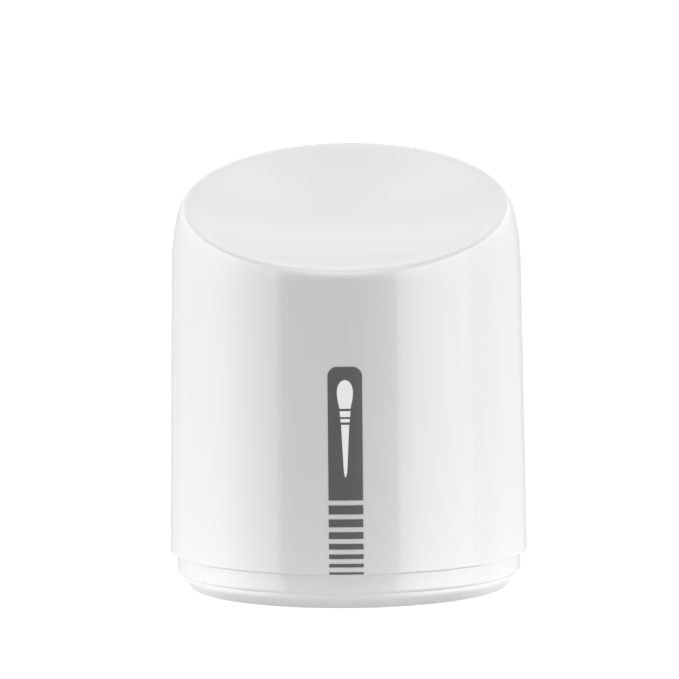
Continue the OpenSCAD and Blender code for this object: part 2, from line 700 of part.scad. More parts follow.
// Insulated leads lie on the base's floor between the motor, the cell, the switch and the board
lead_r = 0.5;
lead_z = floor_z + 0.8;             // height of a lead's middle on the floor
lead_end = board_z - 0.05;          // leads end on the board's solder side
motor_tab_z = gear_plate_z - motor_h - 2.05;
positive_routes = [
    [[-13, -6.3, motor_tab_z], [-13, -6.3, lead_z], [-13, 14, lead_z], [-7.5, 21.5, lead_z],
        [-7.5, 21.5, lead_end]],
    [[cell_x, 26.1, cell_z], [cell_x, 28, cell_z], [cell_x, 28, lead_z], [9.8, 30, lead_z],
        [9.8, 30, lead_end]],
    [[2.5, -34.8, 22], [2.5, -33, 22], [1.2, -32, lead_z], [1.2, 21, lead_z], [1.2, 21, lead_end]]];
negative_routes = [
    [[-27, -6.3, motor_tab_z], [-27, -6.3, lead_z], [-27, 8, lead_z], [-14.5, 17.5, lead_z],
        [-9.8, 21.5, lead_z], [-9.8, 21.5, lead_end]],
    [[cell_x, -25.1, cell_z], [cell_x, -27.5, cell_z], [cell_x, -27.5, lead_z],
        [12.9, -27.5, lead_z], [12.9, 19, lead_z], [9.8, 22.5, lead_z], [9.8, 22.5, lead_end]],
    [[-2.5, -34.8, 22], [-2.5, -33, 22], [-1.2, -32, lead_z], [-1.2, 21, lead_z],
        [-1.2, 21, lead_end]]];

lead_bend = 1.4;                    // how far before a corner a lead starts to turn
lead_sides = 8;

function bend(a, b, c) = let (u = unit(a - b), v = unit(c - b))
    [for (t = [0 : 0.25 : 1]) b + lead_bend * ((1 - t) * (1 - t) * u + t * t * v)];
function bent(route) = let (last = len(route) - 1) concat([route[0]],
    [for (i = [1 : last - 1]) each bend(route[i - 1], route[i], route[i + 1])], [route[last]]);
function ways(line) = let (last = len(line) - 1)
    [for (i = [0 : last]) unit(line[min(i + 1, last)] - line[max(i - 1, 0)])];
// Side directions carried along the line without twist
function carried(ways, side, i = 0) = i == len(ways) ? []
    : let (here = unit(side - (side * ways[i]) * ways[i]))
        concat([here], carried(ways, here, i + 1));

// A round lead swept along its route
module lead(route) {
    line = bent(route);
    along = ways(line);
    start_side = abs(along[0][2]) > 0.9 ? [1, 0, 0] : [0, 0, 1];
    across = carried(along, start_side);
    points = [for (i = [0 : len(line) - 1], j = [0 : lead_sides - 1])
        let (a = j * 360 / lead_sides)
            line[i] + lead_r * (cos(a) * across[i] + sin(a) * cross(along[i], across[i]))];
    function at(i, j) = i * lead_sides + j % lead_sides;
    last = len(line) - 1;
    faces = concat([[for (j = [0 : lead_sides - 1]) at(0, j)]],
        [for (i = [0 : last - 1], j = [0 : lead_sides - 1], half = [0, 1])
            half == 0 ? [at(i, j), at(i + 1, j), at(i + 1, j + 1)]
                : [at(i, j), at(i + 1, j + 1), at(i, j + 1)]],
        [[for (j = [lead_sides - 1 : -1 : 0]) at(last, j)]]);
    polyhedron(points, faces, convexity = 6);
}

module positive_leads() {
    color([0.75, 0.12, 0.1]) for (route = positive_routes) lead(route);
}

module negative_leads() {
    color([0.1, 0.1, 0.1]) for (route = negative_routes) lead(route);
}

// ---- Wash set ----------------------------------------------------------------------------

module wash_bowl() {
    rim_r = 43;
    wall = 1.9;
    rim_t = 1.6;
    foot_in = 38.2;
    chimney_r = 8;
    chimney_in = 6.4;
    color(white) rotate_extrude($fn = 128) polygon(rounded([[chimney_in, bowl_floor - 2],
        [foot_in, bowl_floor - 2], [foot_in, deck_top, 0.3], [40, deck_top, 0.7],
        [rim_r - 1.4, bowl_top - rim_t, 0.5], [rim_r, bowl_top - rim_t, 0.4],
        [rim_r, bowl_top, 0.3], [rim_r - 1.3 - wall, bowl_top, 0.4], [38, bowl_floor, 4],
        [chimney_r, bowl_floor, 1.5], [chimney_r, chimney_top, 0.4],
        [chimney_in, chimney_top, 0.4]]));
}

module bowl_seal() {
    color([0.85, 0.35, 0.3]) translate([0, 0, deck_top + 1]) rotate_extrude($fn = 64)
        translate([9.5, 0]) circle(r = 0.95, $fn = 24);
}

module splash_guard() {
    outer_r = 43;
    skirt_r = 39.4;
    color([0.93, 0.94, 0.95]) rotate_extrude($fn = 128) polygon(rounded([[outer_r, bowl_top],
        [outer_r, bowl_top + 1.7, 0.7], [37.5, bowl_top + 1.7, 4], [guard_r, bowl_top - 1.2, 0.8],
        [guard_r, bowl_top - 2.6, 0.4], [guard_r + 1, bowl_top - 2.6, 0.4],
        [37, bowl_top - 0.2, 0.8], [skirt_r - 1.3, bowl_top - 3, 0.3],
        [skirt_r, bowl_top - 3, 0.4], [skirt_r, bowl_top]]));
}

hub_r = 5.5;

module turntable() {
    color([0.88, 0.9, 0.92]) difference() {
        union() {
            translate([0, 0, table_z]) cylinder(r = table_r, h = pad_z - table_z, $fn = 96);
            translate([0, 0, table_z]) cylinder(r = hub_r, h = 5.4, $fn = 48);
            difference() {
                translate([0, 0, bowl_floor + 2.4])
                    cylinder(r = 10.3, h = table_z + 0.5 - bowl_floor - 2.4, $fn = 64);
                translate([0, 0, bowl_floor]) cylinder(r = 8.7, h = table_z - bowl_floor, $fn = 64);
            }
            for (a = [0 : 60 : 300]) rotate(a) translate([9.8, -0.6, table_z - 3])
                cube([table_r - 11, 1.2, 3.5]);
        }
        translate([0, 0, table_z - 1]) cylinder(r = shaft_r + 0.15, h = 5.4, $fn = 6);
        for (a = [15 : 30 : 345]) rotate(a) translate([26, 0, table_z - 1])
            cylinder(r = 1.6, h = 4, $fn = 24);
    }
}

module scrub_pad() {
    sheet = 1.6;
    edge = table_r + 1.5;
    color(silicone) {
        difference() {
            union() {
                translate([0, 0, pad_z]) cylinder(r = edge, h = sheet, $fn = 96);
                translate([0, 0, table_z]) cylinder(r = edge, h = sheet + 1, $fn = 96);
                for (r = [10, 13, 16]) translate([0, 0, pad_z + sheet - 0.1]) difference() {
                    cylinder(r = r + 0.6, h = 2.1, $fn = 64);
                    translate([0, 0, -1]) cylinder(r = r - 0.6, h = 5, $fn = 64);
                }
                for (i = [0 : pad_ribs - 1]) rotate(i * 360 / pad_ribs)
                    translate([18.4, -0.6, pad_z + sheet - 0.1]) cube([7.2, 1.2, 2.1]);
                for (i = [0 : 29]) rotate(i * 12) translate([29.8, 0, pad_z + sheet - 0.1])
                    cylinder(r = 1.4, h = 2.9, $fn = 24);
            }
            translate([0, 0, table_z - 1]) cylinder(r = table_r + 0.1, h = pad_z - table_z + 1,
                $fn = 96);
            translate([0, 0, table_z]) cylinder(r = hub_r + 0.1, h = 12, $fn = 48);
        }
    }
}

module pad_knob() {
    bottom = table_z + 5.4;
    knob_r = 7.6;
    crown = 3.3;
    color(white) rotate_extrude($fn = 64) polygon(rounded([[0, bottom], [hub_r, bottom],
        [hub_r, pad_z + 1.7], [knob_r, pad_z + 1.7, 0.3], [knob_r, bottom + 2.5, 2.2],
        [0, bottom + crown]]));
}

cover();
front_strip();
base_plate();
rubber_feet();
lower_housing();
case_screws();
deck_gasket();
top_deck();
gear_plate();
motor_can();
motor_screws();
motor_shaft();
motor_pinion();
gear_axle();
compound_gear();
drive_gear();
drive_shaft();
shaft_clip();
lower_bush();
upper_bush();
shaft_seal();
circuit_board();
charge_socket();
charge_lamp();
switch_board();
tact_switch();
switch_plunger();
power_button();
battery_cradle();
battery_cell();
positive_leads();
negative_leads();
wash_bowl();
bowl_seal();
splash_guard();
turntable();
scrub_pad();
pad_knob();
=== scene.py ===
"""Desktop brush cleaner: its fine skins, finishes and studio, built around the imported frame.

Everything is in metres in the frame's own axes: +Z up, the front faces -Y.
"""

import math

import bmesh
import bpy
from bpy.props import FloatProperty, FloatVectorProperty, IntProperty, PointerProperty
from bpy.types import Operator, Panel, PropertyGroup
from mathutils import Matrix, Vector


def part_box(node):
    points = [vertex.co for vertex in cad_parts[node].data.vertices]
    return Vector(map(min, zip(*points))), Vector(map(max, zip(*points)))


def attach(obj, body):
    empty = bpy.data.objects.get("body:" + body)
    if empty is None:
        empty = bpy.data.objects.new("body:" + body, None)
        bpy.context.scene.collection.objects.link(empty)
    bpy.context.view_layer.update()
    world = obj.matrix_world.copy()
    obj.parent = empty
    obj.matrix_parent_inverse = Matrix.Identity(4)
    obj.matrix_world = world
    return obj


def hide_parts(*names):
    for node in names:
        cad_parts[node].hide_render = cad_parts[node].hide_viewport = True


bl_info = {
    "name": "Brush Cleaner",
    "version": (1, 0, 0),
    "blender": (4, 5, 0),
    "location": "3D View > Sidebar > Brush Cleaner",
    "description": "Builds a desktop brush cleaner with its moulded, silicone and metal finishes",
    "category": "Object",
}

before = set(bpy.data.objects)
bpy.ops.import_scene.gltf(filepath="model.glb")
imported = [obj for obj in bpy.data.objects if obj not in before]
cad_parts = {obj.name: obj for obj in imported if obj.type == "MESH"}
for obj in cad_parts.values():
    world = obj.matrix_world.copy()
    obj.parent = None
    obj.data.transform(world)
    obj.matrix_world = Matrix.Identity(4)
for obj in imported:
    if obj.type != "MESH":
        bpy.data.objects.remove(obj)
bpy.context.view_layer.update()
COVER_LOW, COVER_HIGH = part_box("cover")
STRIP_LOW, STRIP_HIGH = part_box("front_strip")
PAD_LOW, PAD_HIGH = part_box("scrub_pad")
TABLE_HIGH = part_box("turntable")[1]
MM = 0.001
TINY = 1e-7      # a radius that counts as none
SINK = 0.1 * MM  # how far a pad's rib or nub reaches into its sheet


# ---- Settings ---------------------------------------------------------------------------

def length(name, description, default, low=0.0, high=0.3):
    """A length in metres, shown in the scene's own unit."""
    return FloatProperty(name=name, description=description, default=default, min=low, max=high,
                         subtype="DISTANCE", unit="LENGTH", precision=5)


def angle(name, description, degrees, low=-180, high=180):
    """An angle, given in degrees and kept in radians."""
    return FloatProperty(name=name, description=description, default=math.radians(degrees),
                         min=math.radians(low), max=math.radians(high), subtype="ANGLE", unit="ROTATION")


def share(name, description, default, high=1.0):
    """A plain factor from 0 up."""
    return FloatProperty(name=name, description=description, default=default, min=0.0, max=high)


def whole(name, description, default, low, high):
    """A whole number."""
    return IntProperty(name=name, description=description, default=default, min=low, max=high)


def colour(name, description, default):
    """A linear colour."""
    return FloatVectorProperty(name=name, description=description, default=default, size=3,
                               subtype="COLOR", min=0.0, max=1.0)


class CoverSizes(PropertyGroup):
    """Form of the tall cover with its slanted, dished top"""
    radius: length("Radius", "Outer radius at the cover's bottom edge", COVER_HIGH.x)
    bottom: length("Bottom", "Height of the bottom edge", COVER_LOW.z)
    draft: angle("Draft", "Draft of the wall", 0.9, 0, 3)
    wall: length("Wall", "Thickness of the wall", 2.6 * MM)
    top_wall: length("Top", "Thickness of the dished top", 2.5 * MM)
    rim_height: length("Rim height", "Height of the rim's plane on the axis", 104.5 * MM)
    rim_tilt: angle("Rim slope", "Slope of the rim's plane, higher at the back", 18.3, 0, 30)
    dish_depth: length("Dish depth", "Depth of the dish below the rim's plane", 6.5 * MM)
    dish_edge: length("Dish edge", "Width over which the dish rolls over into the rim", 3.4 * MM)
    lean_front: length("Lean, front", "How far the shoulder leans in at the front", 1.5 * MM)
    lean_side: length("Lean, sides", "How far the shoulder leans in at the sides", 4 * MM)
    lean_back: length("Lean, back", "How far the shoulder leans in at the back", 10.9 * MM)
    drop_front: length("Shoulder, front", "Height of the shoulder's curve at the front", 2.5 * MM)
    drop_side: length("Shoulder, sides", "Height of the shoulder's curve at the sides", 18.4 * MM)
    drop_back: length("Shoulder, back", "Height of the shoulder's curve at the back", 20.9 * MM)
    edge_round: length("Bottom edge", "Rounding of the bottom edge", 0.6 * MM)
    inner_crest: length("Inner crest", "How far the inner shoulder ends inside the rim's crest", 3 * MM)
    sides: whole("Sides", "Directions around the axis", 240, 24, 720)


class StripSizes(PropertyGroup):
    """Printed strip and bars on the cover's front"""
    width: length("Width", "Width of the strip and its bars", STRIP_HIGH.x - STRIP_LOW.x)
    top: length("Top", "Height of the strip's top edge", STRIP_HIGH.z)
    solid: length("Length", "Length of the solid part", 34.9 * MM)
    corner: length("Corners", "Radius of the top corners", 2.5 * MM)
    bars: whole("Bars", "Number of bars below the strip", 7, 1, 9)
    bar_first: length("First bar", "Height of the first bar", 2.35 * MM)
    bar_step: length("Bar step", "How much less high each next bar is", 0.29 * MM)
    bar_gap: length("Bar gap", "Gap between the bars", 1.3 * MM)
    lift: length("Lift", "Distance of the film's back from the cover's skin", 0.02 * MM)
    film: length("Film", "Thickness of the film", 0.11 * MM)
    mark_top: length("Mark top", "Distance from the strip's top edge to the brush mark", 3.4 * MM)
    mark_length: length("Mark length", "Length of the brush mark", 25.5 * MM)
    mark_width: length("Mark width", "Width of the brush mark's bristles", 4.6 * MM)
    mark_film: length("Mark film", "Thickness of the brush mark's print", 0.03 * MM)


class WashSizes(PropertyGroup):
    """Ribbed scrub pad"""
    ribs: whole("Ribs", "Ribs in the middle zone", 24, 6, 60)
    nubs: whole("Nubs", "Nubs in the outer zone", 30, 6, 60)
    rib_width: length("Rib width", "Width of a rib", 1.2 * MM)
    rib_height: length("Rib height", "Height of a rib above the sheet", 2.0 * MM)
    nub_radius: length("Nub radius", "Radius of a nub", 1.4 * MM)
    nub_height: length("Nub height", "Height of a nub above the sheet", 2.8 * MM)


class BaseSizes(PropertyGroup):
    """Feet, screws, socket and button of the base"""
    foot_round: length("Foot edge", "Rounding of a foot's lower edge", 0.35 * MM)
    foot_dimple: length("Foot dimple", "Depth of the hollow in a foot's face", 0.2 * MM)
    head_height: length("Screw head", "Height of a case screw's head", 1.2 * MM)
    head_radius: length("Screw head radius", "Radius of a case screw's head", 2.6 * MM)
    shank_radius: length("Screw shank", "Outer radius of a case screw's thread", 1.2 * MM)
    thread_pitch: length("Thread pitch", "Rise of a case screw's thread per turn", 0.9 * MM)
    socket_wall: length("Socket wall", "Thickness of the charging socket's shell", 0.35 * MM)
    socket_depth: length("Socket depth", "Depth of the charging socket", 6.4 * MM)
    tongue_width: length("Tongue width", "Width of the socket's tongue", 6.6 * MM)
    tongue_thick: length("Tongue", "Thickness of the socket's tongue", 0.7 * MM)
    contacts: whole("Contacts", "Contacts on each face of the tongue", 12, 4, 16)
    symbol_radius: length("Symbol radius", "Middle radius of the button's ring symbol", 2.3 * MM)
    symbol_line: length("Symbol line", "Line width of the button's symbol", 0.52 * MM)
    symbol_gap: angle("Symbol gap", "Half of the gap in the symbol's ring", 32, 0, 90)


class Finishes(PropertyGroup):
    """Colours and gloss"""
    shell: colour("Shell", "Moulded white plastic", (0.86, 0.86, 0.862))
    shell_gloss: share("Shell roughness", "Roughness of the polished white plastic", 0.07)
    base: colour("Base plate", "Fine-grained white plastic", (0.86, 0.86, 0.86))
    print_grey: colour("Strip", "Grey print", (0.13, 0.13, 0.13))
    mark: colour("Mark", "White print on the strip", (0.95, 0.95, 0.95))
    button: colour("Button", "Button plastic", (0.62, 0.64, 0.66))
    symbol: colour("Symbol", "Ring symbol on the button", (0.12, 0.2, 0.24))
    silicone: colour("Silicone", "Pale silicone of the pad", (0.66, 0.81, 0.84))
    rubber: colour("Rubber", "Rubber of the feet", (0.035, 0.035, 0.037))
    steel: colour("Steel", "Machined and stamped steel", (0.56, 0.57, 0.59))
    brass: colour("Brass", "Pinion and bushes", (0.7, 0.52, 0.22))
    gold: colour("Gold", "Plated contacts", (0.83, 0.6, 0.24))


class StudioSettings(PropertyGroup):
    """Camera and light"""
    azimuth: angle("Azimuth", "Camera's turn to the right of the front", 0.82)
    elevation: angle("Elevation", "Camera's height above the horizon", 6.65)
    roll: angle("Roll", "Camera's roll", 0.53)
    distance: length("Distance", "From the camera to the object's middle", 1.5, 0.5, 5)
    lens: FloatProperty(name="Lens", description="Focal length on a 36 mm sensor", default=296.84, min=50,
                        max=500, unit="CAMERA")
    aim_height: length("Aim height", "Height of the object's middle", 55.4 * MM)
    aim_up: length("Aim up", "How far above the middle the camera points", 11.03 * MM)
    aim_left: length("Aim left", "How far left of the middle the camera points", 2.0 * MM)
    card_radius: length("Ring radius", "Distance of the light ring from the axis", 1.2, 0.5, 3)
    card_height: length("Ring height", "Half height of the light ring", 1.3, 0.1, 2)
    card_inset: length("Card inset", "How far the soft cards stand inside the light ring", 50 * MM)
    sky: share("Sky", "Light from overhead", 1.2, 10)
    horizon: share("Horizon", "Light from the horizon", 0.42, 10)
    ground: share("Ground", "Light from below the horizon", 0.5, 10)
    bounce: share("Bounce", "Light from the floor near the object", 0.69, 10)
    floor_glow: share("Floor", "The floor's own light", 0.55, 10)


class BrushCleanerSettings(PropertyGroup):
    """All settings of the brush cleaner"""
    cover: PointerProperty(type=CoverSizes)
    strip: PointerProperty(type=StripSizes)
    wash: PointerProperty(type=WashSizes)
    base: PointerProperty(type=BaseSizes)
    finishes: PointerProperty(type=Finishes)
    studio: PointerProperty(type=StudioSettings)


# ---- Mesh helpers -----------------------------------------------------------------------

def polar(radius, turn, height):
    """A point at a radius, a direction in radians and a height."""
    return Vector((radius * math.cos(turn), radius * math.sin(turn), height))


def circle(radius, height, sides):
    """A ring of points round the axis, or its middle point alone where the radius is nothing."""
    count = 1 if radius < TINY else sides
    return [polar(radius, math.tau * i / count, height) for i in range(count)]


def to_object(name, mesh, crease=35):
    """A shaded, linked object from a bmesh, with edges sharper than crease degrees kept sharp."""
    bmesh.ops.recalc_face_normals(mesh, faces=mesh.faces)
    data = bpy.data.meshes.new(name)
    mesh.to_mesh(data)
    mesh.free()
    data.shade_smooth()
    data.set_sharp_from_angle(angle=math.radians(crease))
    made = bpy.data.objects.new(name, data)
    bpy.context.scene.collection.objects.link(made)
    return made


def skin(mesh, rings, closed=True):
    """Adds faces between rings of points, and gives their vertices. A ring of one point is a tip."""
    made = [[mesh.verts.new(p) for p in ring] for ring in rings]
    pairs = list(zip(made, made[1:] + made[:1])) if closed else list(zip(made, made[1:]))
    for one, two in pairs:
        count = max(len(one), len(two))
        if count == 1:
            continue
        for i in range(count):
            j = (i + 1) % count
            corners = [one[i % len(one)], one[j % len(one)], two[j % len(two)], two[i % len(two)]]
            mesh.faces.new(list(dict.fromkeys(corners)))
    return made


def rounded(corners, step=12):
    """Points of an outline whose (x, y, radius) corners are rounded by arcs, step degrees apart."""
    points = []
    for i, (x, y, radius) in enumerate(corners):
        here = Vector((x, y))
        if radius == 0:
            points.append(here)
            continue
        before = (Vector(corners[i - 1][:2]) - here).normalized()
        after = (Vector(corners[(i + 1) % len(corners)][:2]) - here).normalized()
        half = before.angle(after) / 2
        middle = here + (before + after).normalized() * (radius / math.sin(half))
        first = here + before * (radius / math.tan(half)) - middle
        last = here + after * (radius / math.tan(half)) - middle
        turn = math.atan2(first.cross(last), first.dot(last))
        count = max(2, math.ceil(abs(math.degrees(turn)) / step))
        for k in range(count + 1):
            points.append(middle + Matrix.Rotation(turn * k / count, 2) @ first)
    return points


def lathe(mesh, outline, sides=128, place=Vector((0, 0, 0)), closed=True):
    """Turns an outline of (radius, height) points around an upright axis through place."""
    skin(mesh, [[place + p for p in circle(*point, sides)] for point in outline], closed)


def under(low, high):
    """The middle of a box's underside."""
    return Vector(((low.x + high.x) / 2, (low.y + high.y) / 2, low.z))


def block(mesh, low, high):
    """A box between two corners."""
    middle, size = (low + high) / 2, high - low
    spread = Matrix.Translation(middle) @ Matrix.Diagonal((size.x, size.y, size.z, 1))
    bmesh.ops.create_cube(mesh, size=1, matrix=spread)


def solids_of(node):
    """The (lowest, highest) corners of each separate solid of a CAD node."""
    mesh = bmesh.new()
    mesh.from_mesh(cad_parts[node].data)
    bmesh.ops.remove_doubles(mesh, verts=mesh.verts, dist=1e-6)
    left, boxes = set(mesh.verts), []
    while left:
        reach, solid = [left.pop()], []
        while reach:
            vert = reach.pop()
            solid.append(vert.co.copy())
            near = {edge.other_vert(vert) for edge in vert.link_edges} & left
            left -= near
            reach += near
        boxes.append([Vector([pick(c[i] for c in solid) for i in range(3)]) for pick in (min, max)])
    mesh.free()
    return sorted(boxes, key=lambda box: tuple(round(c, 5) for c in box[0]))


def carve(obj, cutter):
    """Cuts one mesh object out of another, and removes the cutter."""
    cut = obj.modifiers.new("cut", "BOOLEAN")
    cut.object, cut.solver, cut.operation = cutter, "EXACT", "DIFFERENCE"
    bpy.context.view_layer.update()
    shape = bpy.data.meshes.new_from_object(obj.evaluated_get(bpy.context.evaluated_depsgraph_get()))
    obj.modifiers.remove(cut)
    obj.data = shape
    bpy.data.objects.remove(cutter)


def pill(mesh, place, turn, long, radius, top, rows=8):
    """A rounded rib or nub standing on its place: a stretched half ball on straight sides."""
    made = bmesh.ops.create_uvsphere(mesh, u_segments=2 * rows, v_segments=rows, radius=radius)["verts"]
    stretch = max(0.0, long / 2 - radius)
    for v in made:
        v.co.x += math.copysign(stretch, v.co.x) if abs(v.co.x) > TINY / 10 else 0.0
        v.co.z = v.co.z + top - radius if v.co.z > -TINY / 10 else -SINK
    swing = Matrix.Rotation(turn, 4, "Z")
    for v in made:
        v.co = place + swing @ v.co


# ---- Finishes ---------------------------------------------------------------------------

def add_node(tree, kind, values=None, links=None):
    """A shader node with its inputs set, and linked from (node, output) pairs."""
    made = tree.nodes.new(kind)
    for key, value in (values or {}).items():
        made.inputs[key].default_value = value
    for key, (source, output) in (links or {}).items():
        tree.links.new(source.outputs[output], made.inputs[key])
    return made


def maths(tree, operation, *values):
    """The output of a Math node over numbers and other nodes' outputs."""
    made = tree.nodes.new("ShaderNodeMath")
    made.operation = operation
    for socket, value in zip(made.inputs, values):
        if isinstance(value, (int, float)):
            socket.default_value = value
        else:
            tree.links.new(value, socket)
    return made.outputs["Value"]


def position(tree, space="Object"):
    """The X, Y and Z outputs of the shaded point's place."""
    place = add_node(tree, "ShaderNodeTexCoord")
    return add_node(tree, "ShaderNodeSeparateXYZ", links={"Vector": (place, space)}).outputs


def finish(name, tone, roughness, shade=0.03, blotch=55.0, grain=900.0, height=1.5e-6, spread=0.03,
           **shader):
    """A moulded or machined finish: soft drift of tone, grain in the gloss and a fine relief."""
    made = bpy.data.materials.new(name)
    made.use_nodes = True
    tree = made.node_tree
    shading = tree.nodes["Principled BSDF"]
    place = (add_node(tree, "ShaderNodeTexCoord"), "Object")
    drift = add_node(tree, "ShaderNodeTexNoise", {"Scale": blotch, "Detail": 3.0}, {"Vector": place})
    relief = add_node(tree, "ShaderNodeTexNoise", {"Scale": grain, "Detail": 4.0}, {"Vector": place})
    tone_mix = tree.nodes.new("ShaderNodeMix")
    tone_mix.data_type = "RGBA"
    tone_mix.inputs["A"].default_value = [c * (1 - shade) for c in tone] + [1]
    tone_mix.inputs["B"].default_value = [min(1, c * (1 + shade)) for c in tone] + [1]
    gloss = add_node(tree, "ShaderNodeMapRange", {"To Min": roughness - spread, "To Max": roughness + spread})
    bump = add_node(tree, "ShaderNodeBump", {"Strength": 1.0, "Distance": height})
    for source, socket in ((drift.outputs["Fac"], tone_mix.inputs["Factor"]),
                           (tone_mix.outputs["Result"], shading.inputs["Base Color"]),
                           (relief.outputs["Fac"], gloss.inputs["Value"]),
                           (gloss.outputs["Result"], shading.inputs["Roughness"]),
                           (relief.outputs["Fac"], bump.inputs["Height"]),
                           (bump.outputs["Normal"], shading.inputs["Normal"])):
        tree.links.new(source, socket)
    for key, value in shader.items():
        shading.inputs[key.replace("_", " ")].default_value = value
    return made


def paint(obj, material):
    """Gives a piece or a CAD node one finish."""
    obj.data.materials.clear()
    obj.data.materials.append(material)


def place_piece(name, mesh, body, slot, material, *stands_for, crease=35):
    """Makes a piece from a bmesh and puts it on its body, with its finish, in place of CAD nodes."""
    obj = to_object(name, mesh, crease)
    paint(obj, material)
    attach(obj, body)
    if stands_for:
        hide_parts(*stands_for)


# ---- Cover ------------------------------------------------------------------------------

# The cover's rings of points across the dish, as shares of the crest's radius: even in the middle
# and close together where the dish rolls over into the rim. Then those under the top, going inwards,
# and those down the wall, as shares of its height
DISH_SHARES = [n / 20 for n in range(1, 17)] + [
    0.83, 0.86, 0.885, 0.905, 0.92, 0.933, 0.944, 0.954, 0.963, 0.971, 0.978, 0.984, 0.99, 0.995, 1.0]
UNDER_SHARES = [0.96, 0.85, 0.7, 0.5, 0.3, 0.12]
WALL_SHARES = [n / 16 for n in range(17)]
# Turns, in degrees, along the outer shoulder, the bottom edge and the inner shoulder
SHOULDER_TURNS, EDGE_TURNS, INSIDE_TURNS = range(86, 0, -4), range(15, 91, 15), range(0, 73, 8)


class CoverForm:
    """The cover's skin. s is the sine of the direction: -1 at the front, +1 at the back."""

    def __init__(self, sizes):
        self.sizes = sizes
        self.taper = math.tan(sizes.draft)
        self.slope = math.tan(sizes.rim_tilt)

    def wall_at(self, z):
        return self.sizes.radius - (z - self.sizes.bottom) * self.taper

    def lean(self, s):
        k = self.sizes
        return (k.lean_side + s * (k.lean_back - k.lean_front) / 2
                + s * s * ((k.lean_back + k.lean_front) / 2 - k.lean_side))

    def drop(self, s):
        k = self.sizes
        straight = k.drop_side + s * (k.drop_back - k.drop_side)
        return straight if s > 0 else straight - s * s * (2 * k.drop_side - k.drop_back - k.drop_front)

    def crest(self, s):
        """Radius of the rim's crest, where the drafted wall less the lean meets the rim's plane."""
        return (self.wall_at(self.sizes.rim_height) - self.lean(s)) / (1 + s * self.slope * self.taper)

    def plane(self, r, s):
        return self.sizes.rim_height + r * s * self.slope

    def dish(self, r, s):
        """Height of the dish, a shallow bowl that starts level with the rim's plane."""
        edge, crest = self.sizes.dish_edge, self.crest(s)
        u = 1 - (math.hypot(crest - r, edge) - edge) / (math.hypot(crest, edge) - edge)
        return self.plane(r, s) - self.sizes.dish_depth * (1 - u * u)

    def shoulder(self, s, turn):
        """Point on the outer shoulder: a quarter ellipse that leans with the rim's plane."""
        fall = self.drop(s) * (1 - math.sin(turn))
        r = self.wall_at(self.plane(self.crest(s), s) - fall) - self.lean(s) * (1 - math.cos(turn))
        return r, self.plane(r, s) - fall

    def inside(self, s, turn):
        """Point on the inner shoulder."""
        k = self.sizes
        r1 = self.crest(s) - k.inner_crest
        low, high = self.drop(s) + 1 * MM, self.plane(r1, s) - self.dish(r1, s) + k.top_wall
        fall = low * (1 - math.sin(turn)) + high * math.sin(turn)
        wall = self.wall_at(self.plane(self.crest(s), s) - fall) - k.wall
        r = r1 + (wall - r1) * math.cos(turn)
        return r, self.plane(r, s) - fall

    def line(self, s):
        """The section's points from the middle of the dish over the outside and back under the top."""
        k = self.sizes
        crest = self.crest(s)
        points = [(crest * f, self.dish(crest * f, s)) for f in DISH_SHARES]
        points += [self.shoulder(s, math.radians(a)) for a in SHOULDER_TURNS]
        r_top, z_top = self.shoulder(s, 0)
        z_low = k.bottom + k.edge_round
        points += [(r_top + (self.wall_at(z_low) - r_top) * f, z_top + (z_low - z_top) * f)
                   for f in WALL_SHARES]
        points += [(k.radius - k.edge_round * (1 - math.cos(a)), z_low - k.edge_round * math.sin(a))
                   for a in map(math.radians, EDGE_TURNS)]
        points += [(k.radius - k.wall + k.edge_round / 2, k.bottom),
                   (k.radius - k.wall, k.bottom + k.edge_round / 2)]
        points += [self.inside(s, math.radians(a)) for a in INSIDE_TURNS]
        r_in = points[-1][0]
        points += [(r_in * f, self.dish(r_in * f, s) - k.top_wall) for f in UNDER_SHARES]
        return points


def add_strip_film(mesh, form, lift, thick, rows, columns=12):
    """Wraps a flat film round the cover's front. rows are (height, half width) from the bottom up."""
    def at(height, across, out):
        radius = form.wall_at(height) + out
        return polar(radius, across / radius - math.pi / 2, height)

    rings = []
    for height, half in rows:
        spread = [half * (2 * i / columns - 1) for i in range(columns + 1)]
        rings.append([at(height, x, lift + thick) for x in spread]
                     + [at(height, x, lift) for x in reversed(spread)])
    made = skin(mesh, rings, closed=False)
    for end in (made[0], made[-1]):
        for i in range(columns):
            mesh.faces.new([end[i], end[i + 1], end[-2 - i], end[-1 - i]])


class BRUSHCLEANER_OT_cover(Operator):
    """Build the cover with its slanted, dished top"""
    bl_idname = "brush_cleaner.cover"
    bl_label = "Cover"

    def execute(self, context):
        settings = context.scene.brush_cleaner
        form = CoverForm(settings.cover)
        turns = [math.tau * i / settings.cover.sides for i in range(settings.cover.sides)]
        lines = [form.line(math.sin(a)) for a in turns]
        middle = settings.cover.rim_height - settings.cover.dish_depth
        rings = [[Vector((0, 0, middle))]]
        rings += [[polar(r, a, z) for (r, z), a in zip(level, turns)] for level in zip(*lines)]
        rings += [[Vector((0, 0, middle - settings.cover.top_wall))]]
        mesh = bmesh.new()
        skin(mesh, rings, closed=False)
        looks = settings.finishes
        gloss = finish("polished_white", looks.shell, looks.shell_gloss, shade=0.006, blotch=30, grain=420,
                       height=2.5e-6, spread=0.015, IOR=1.5)
        place_piece("cover_shell", mesh, "cover", "white_gloss", gloss, "cover", crease=60)
        return {"FINISHED"}


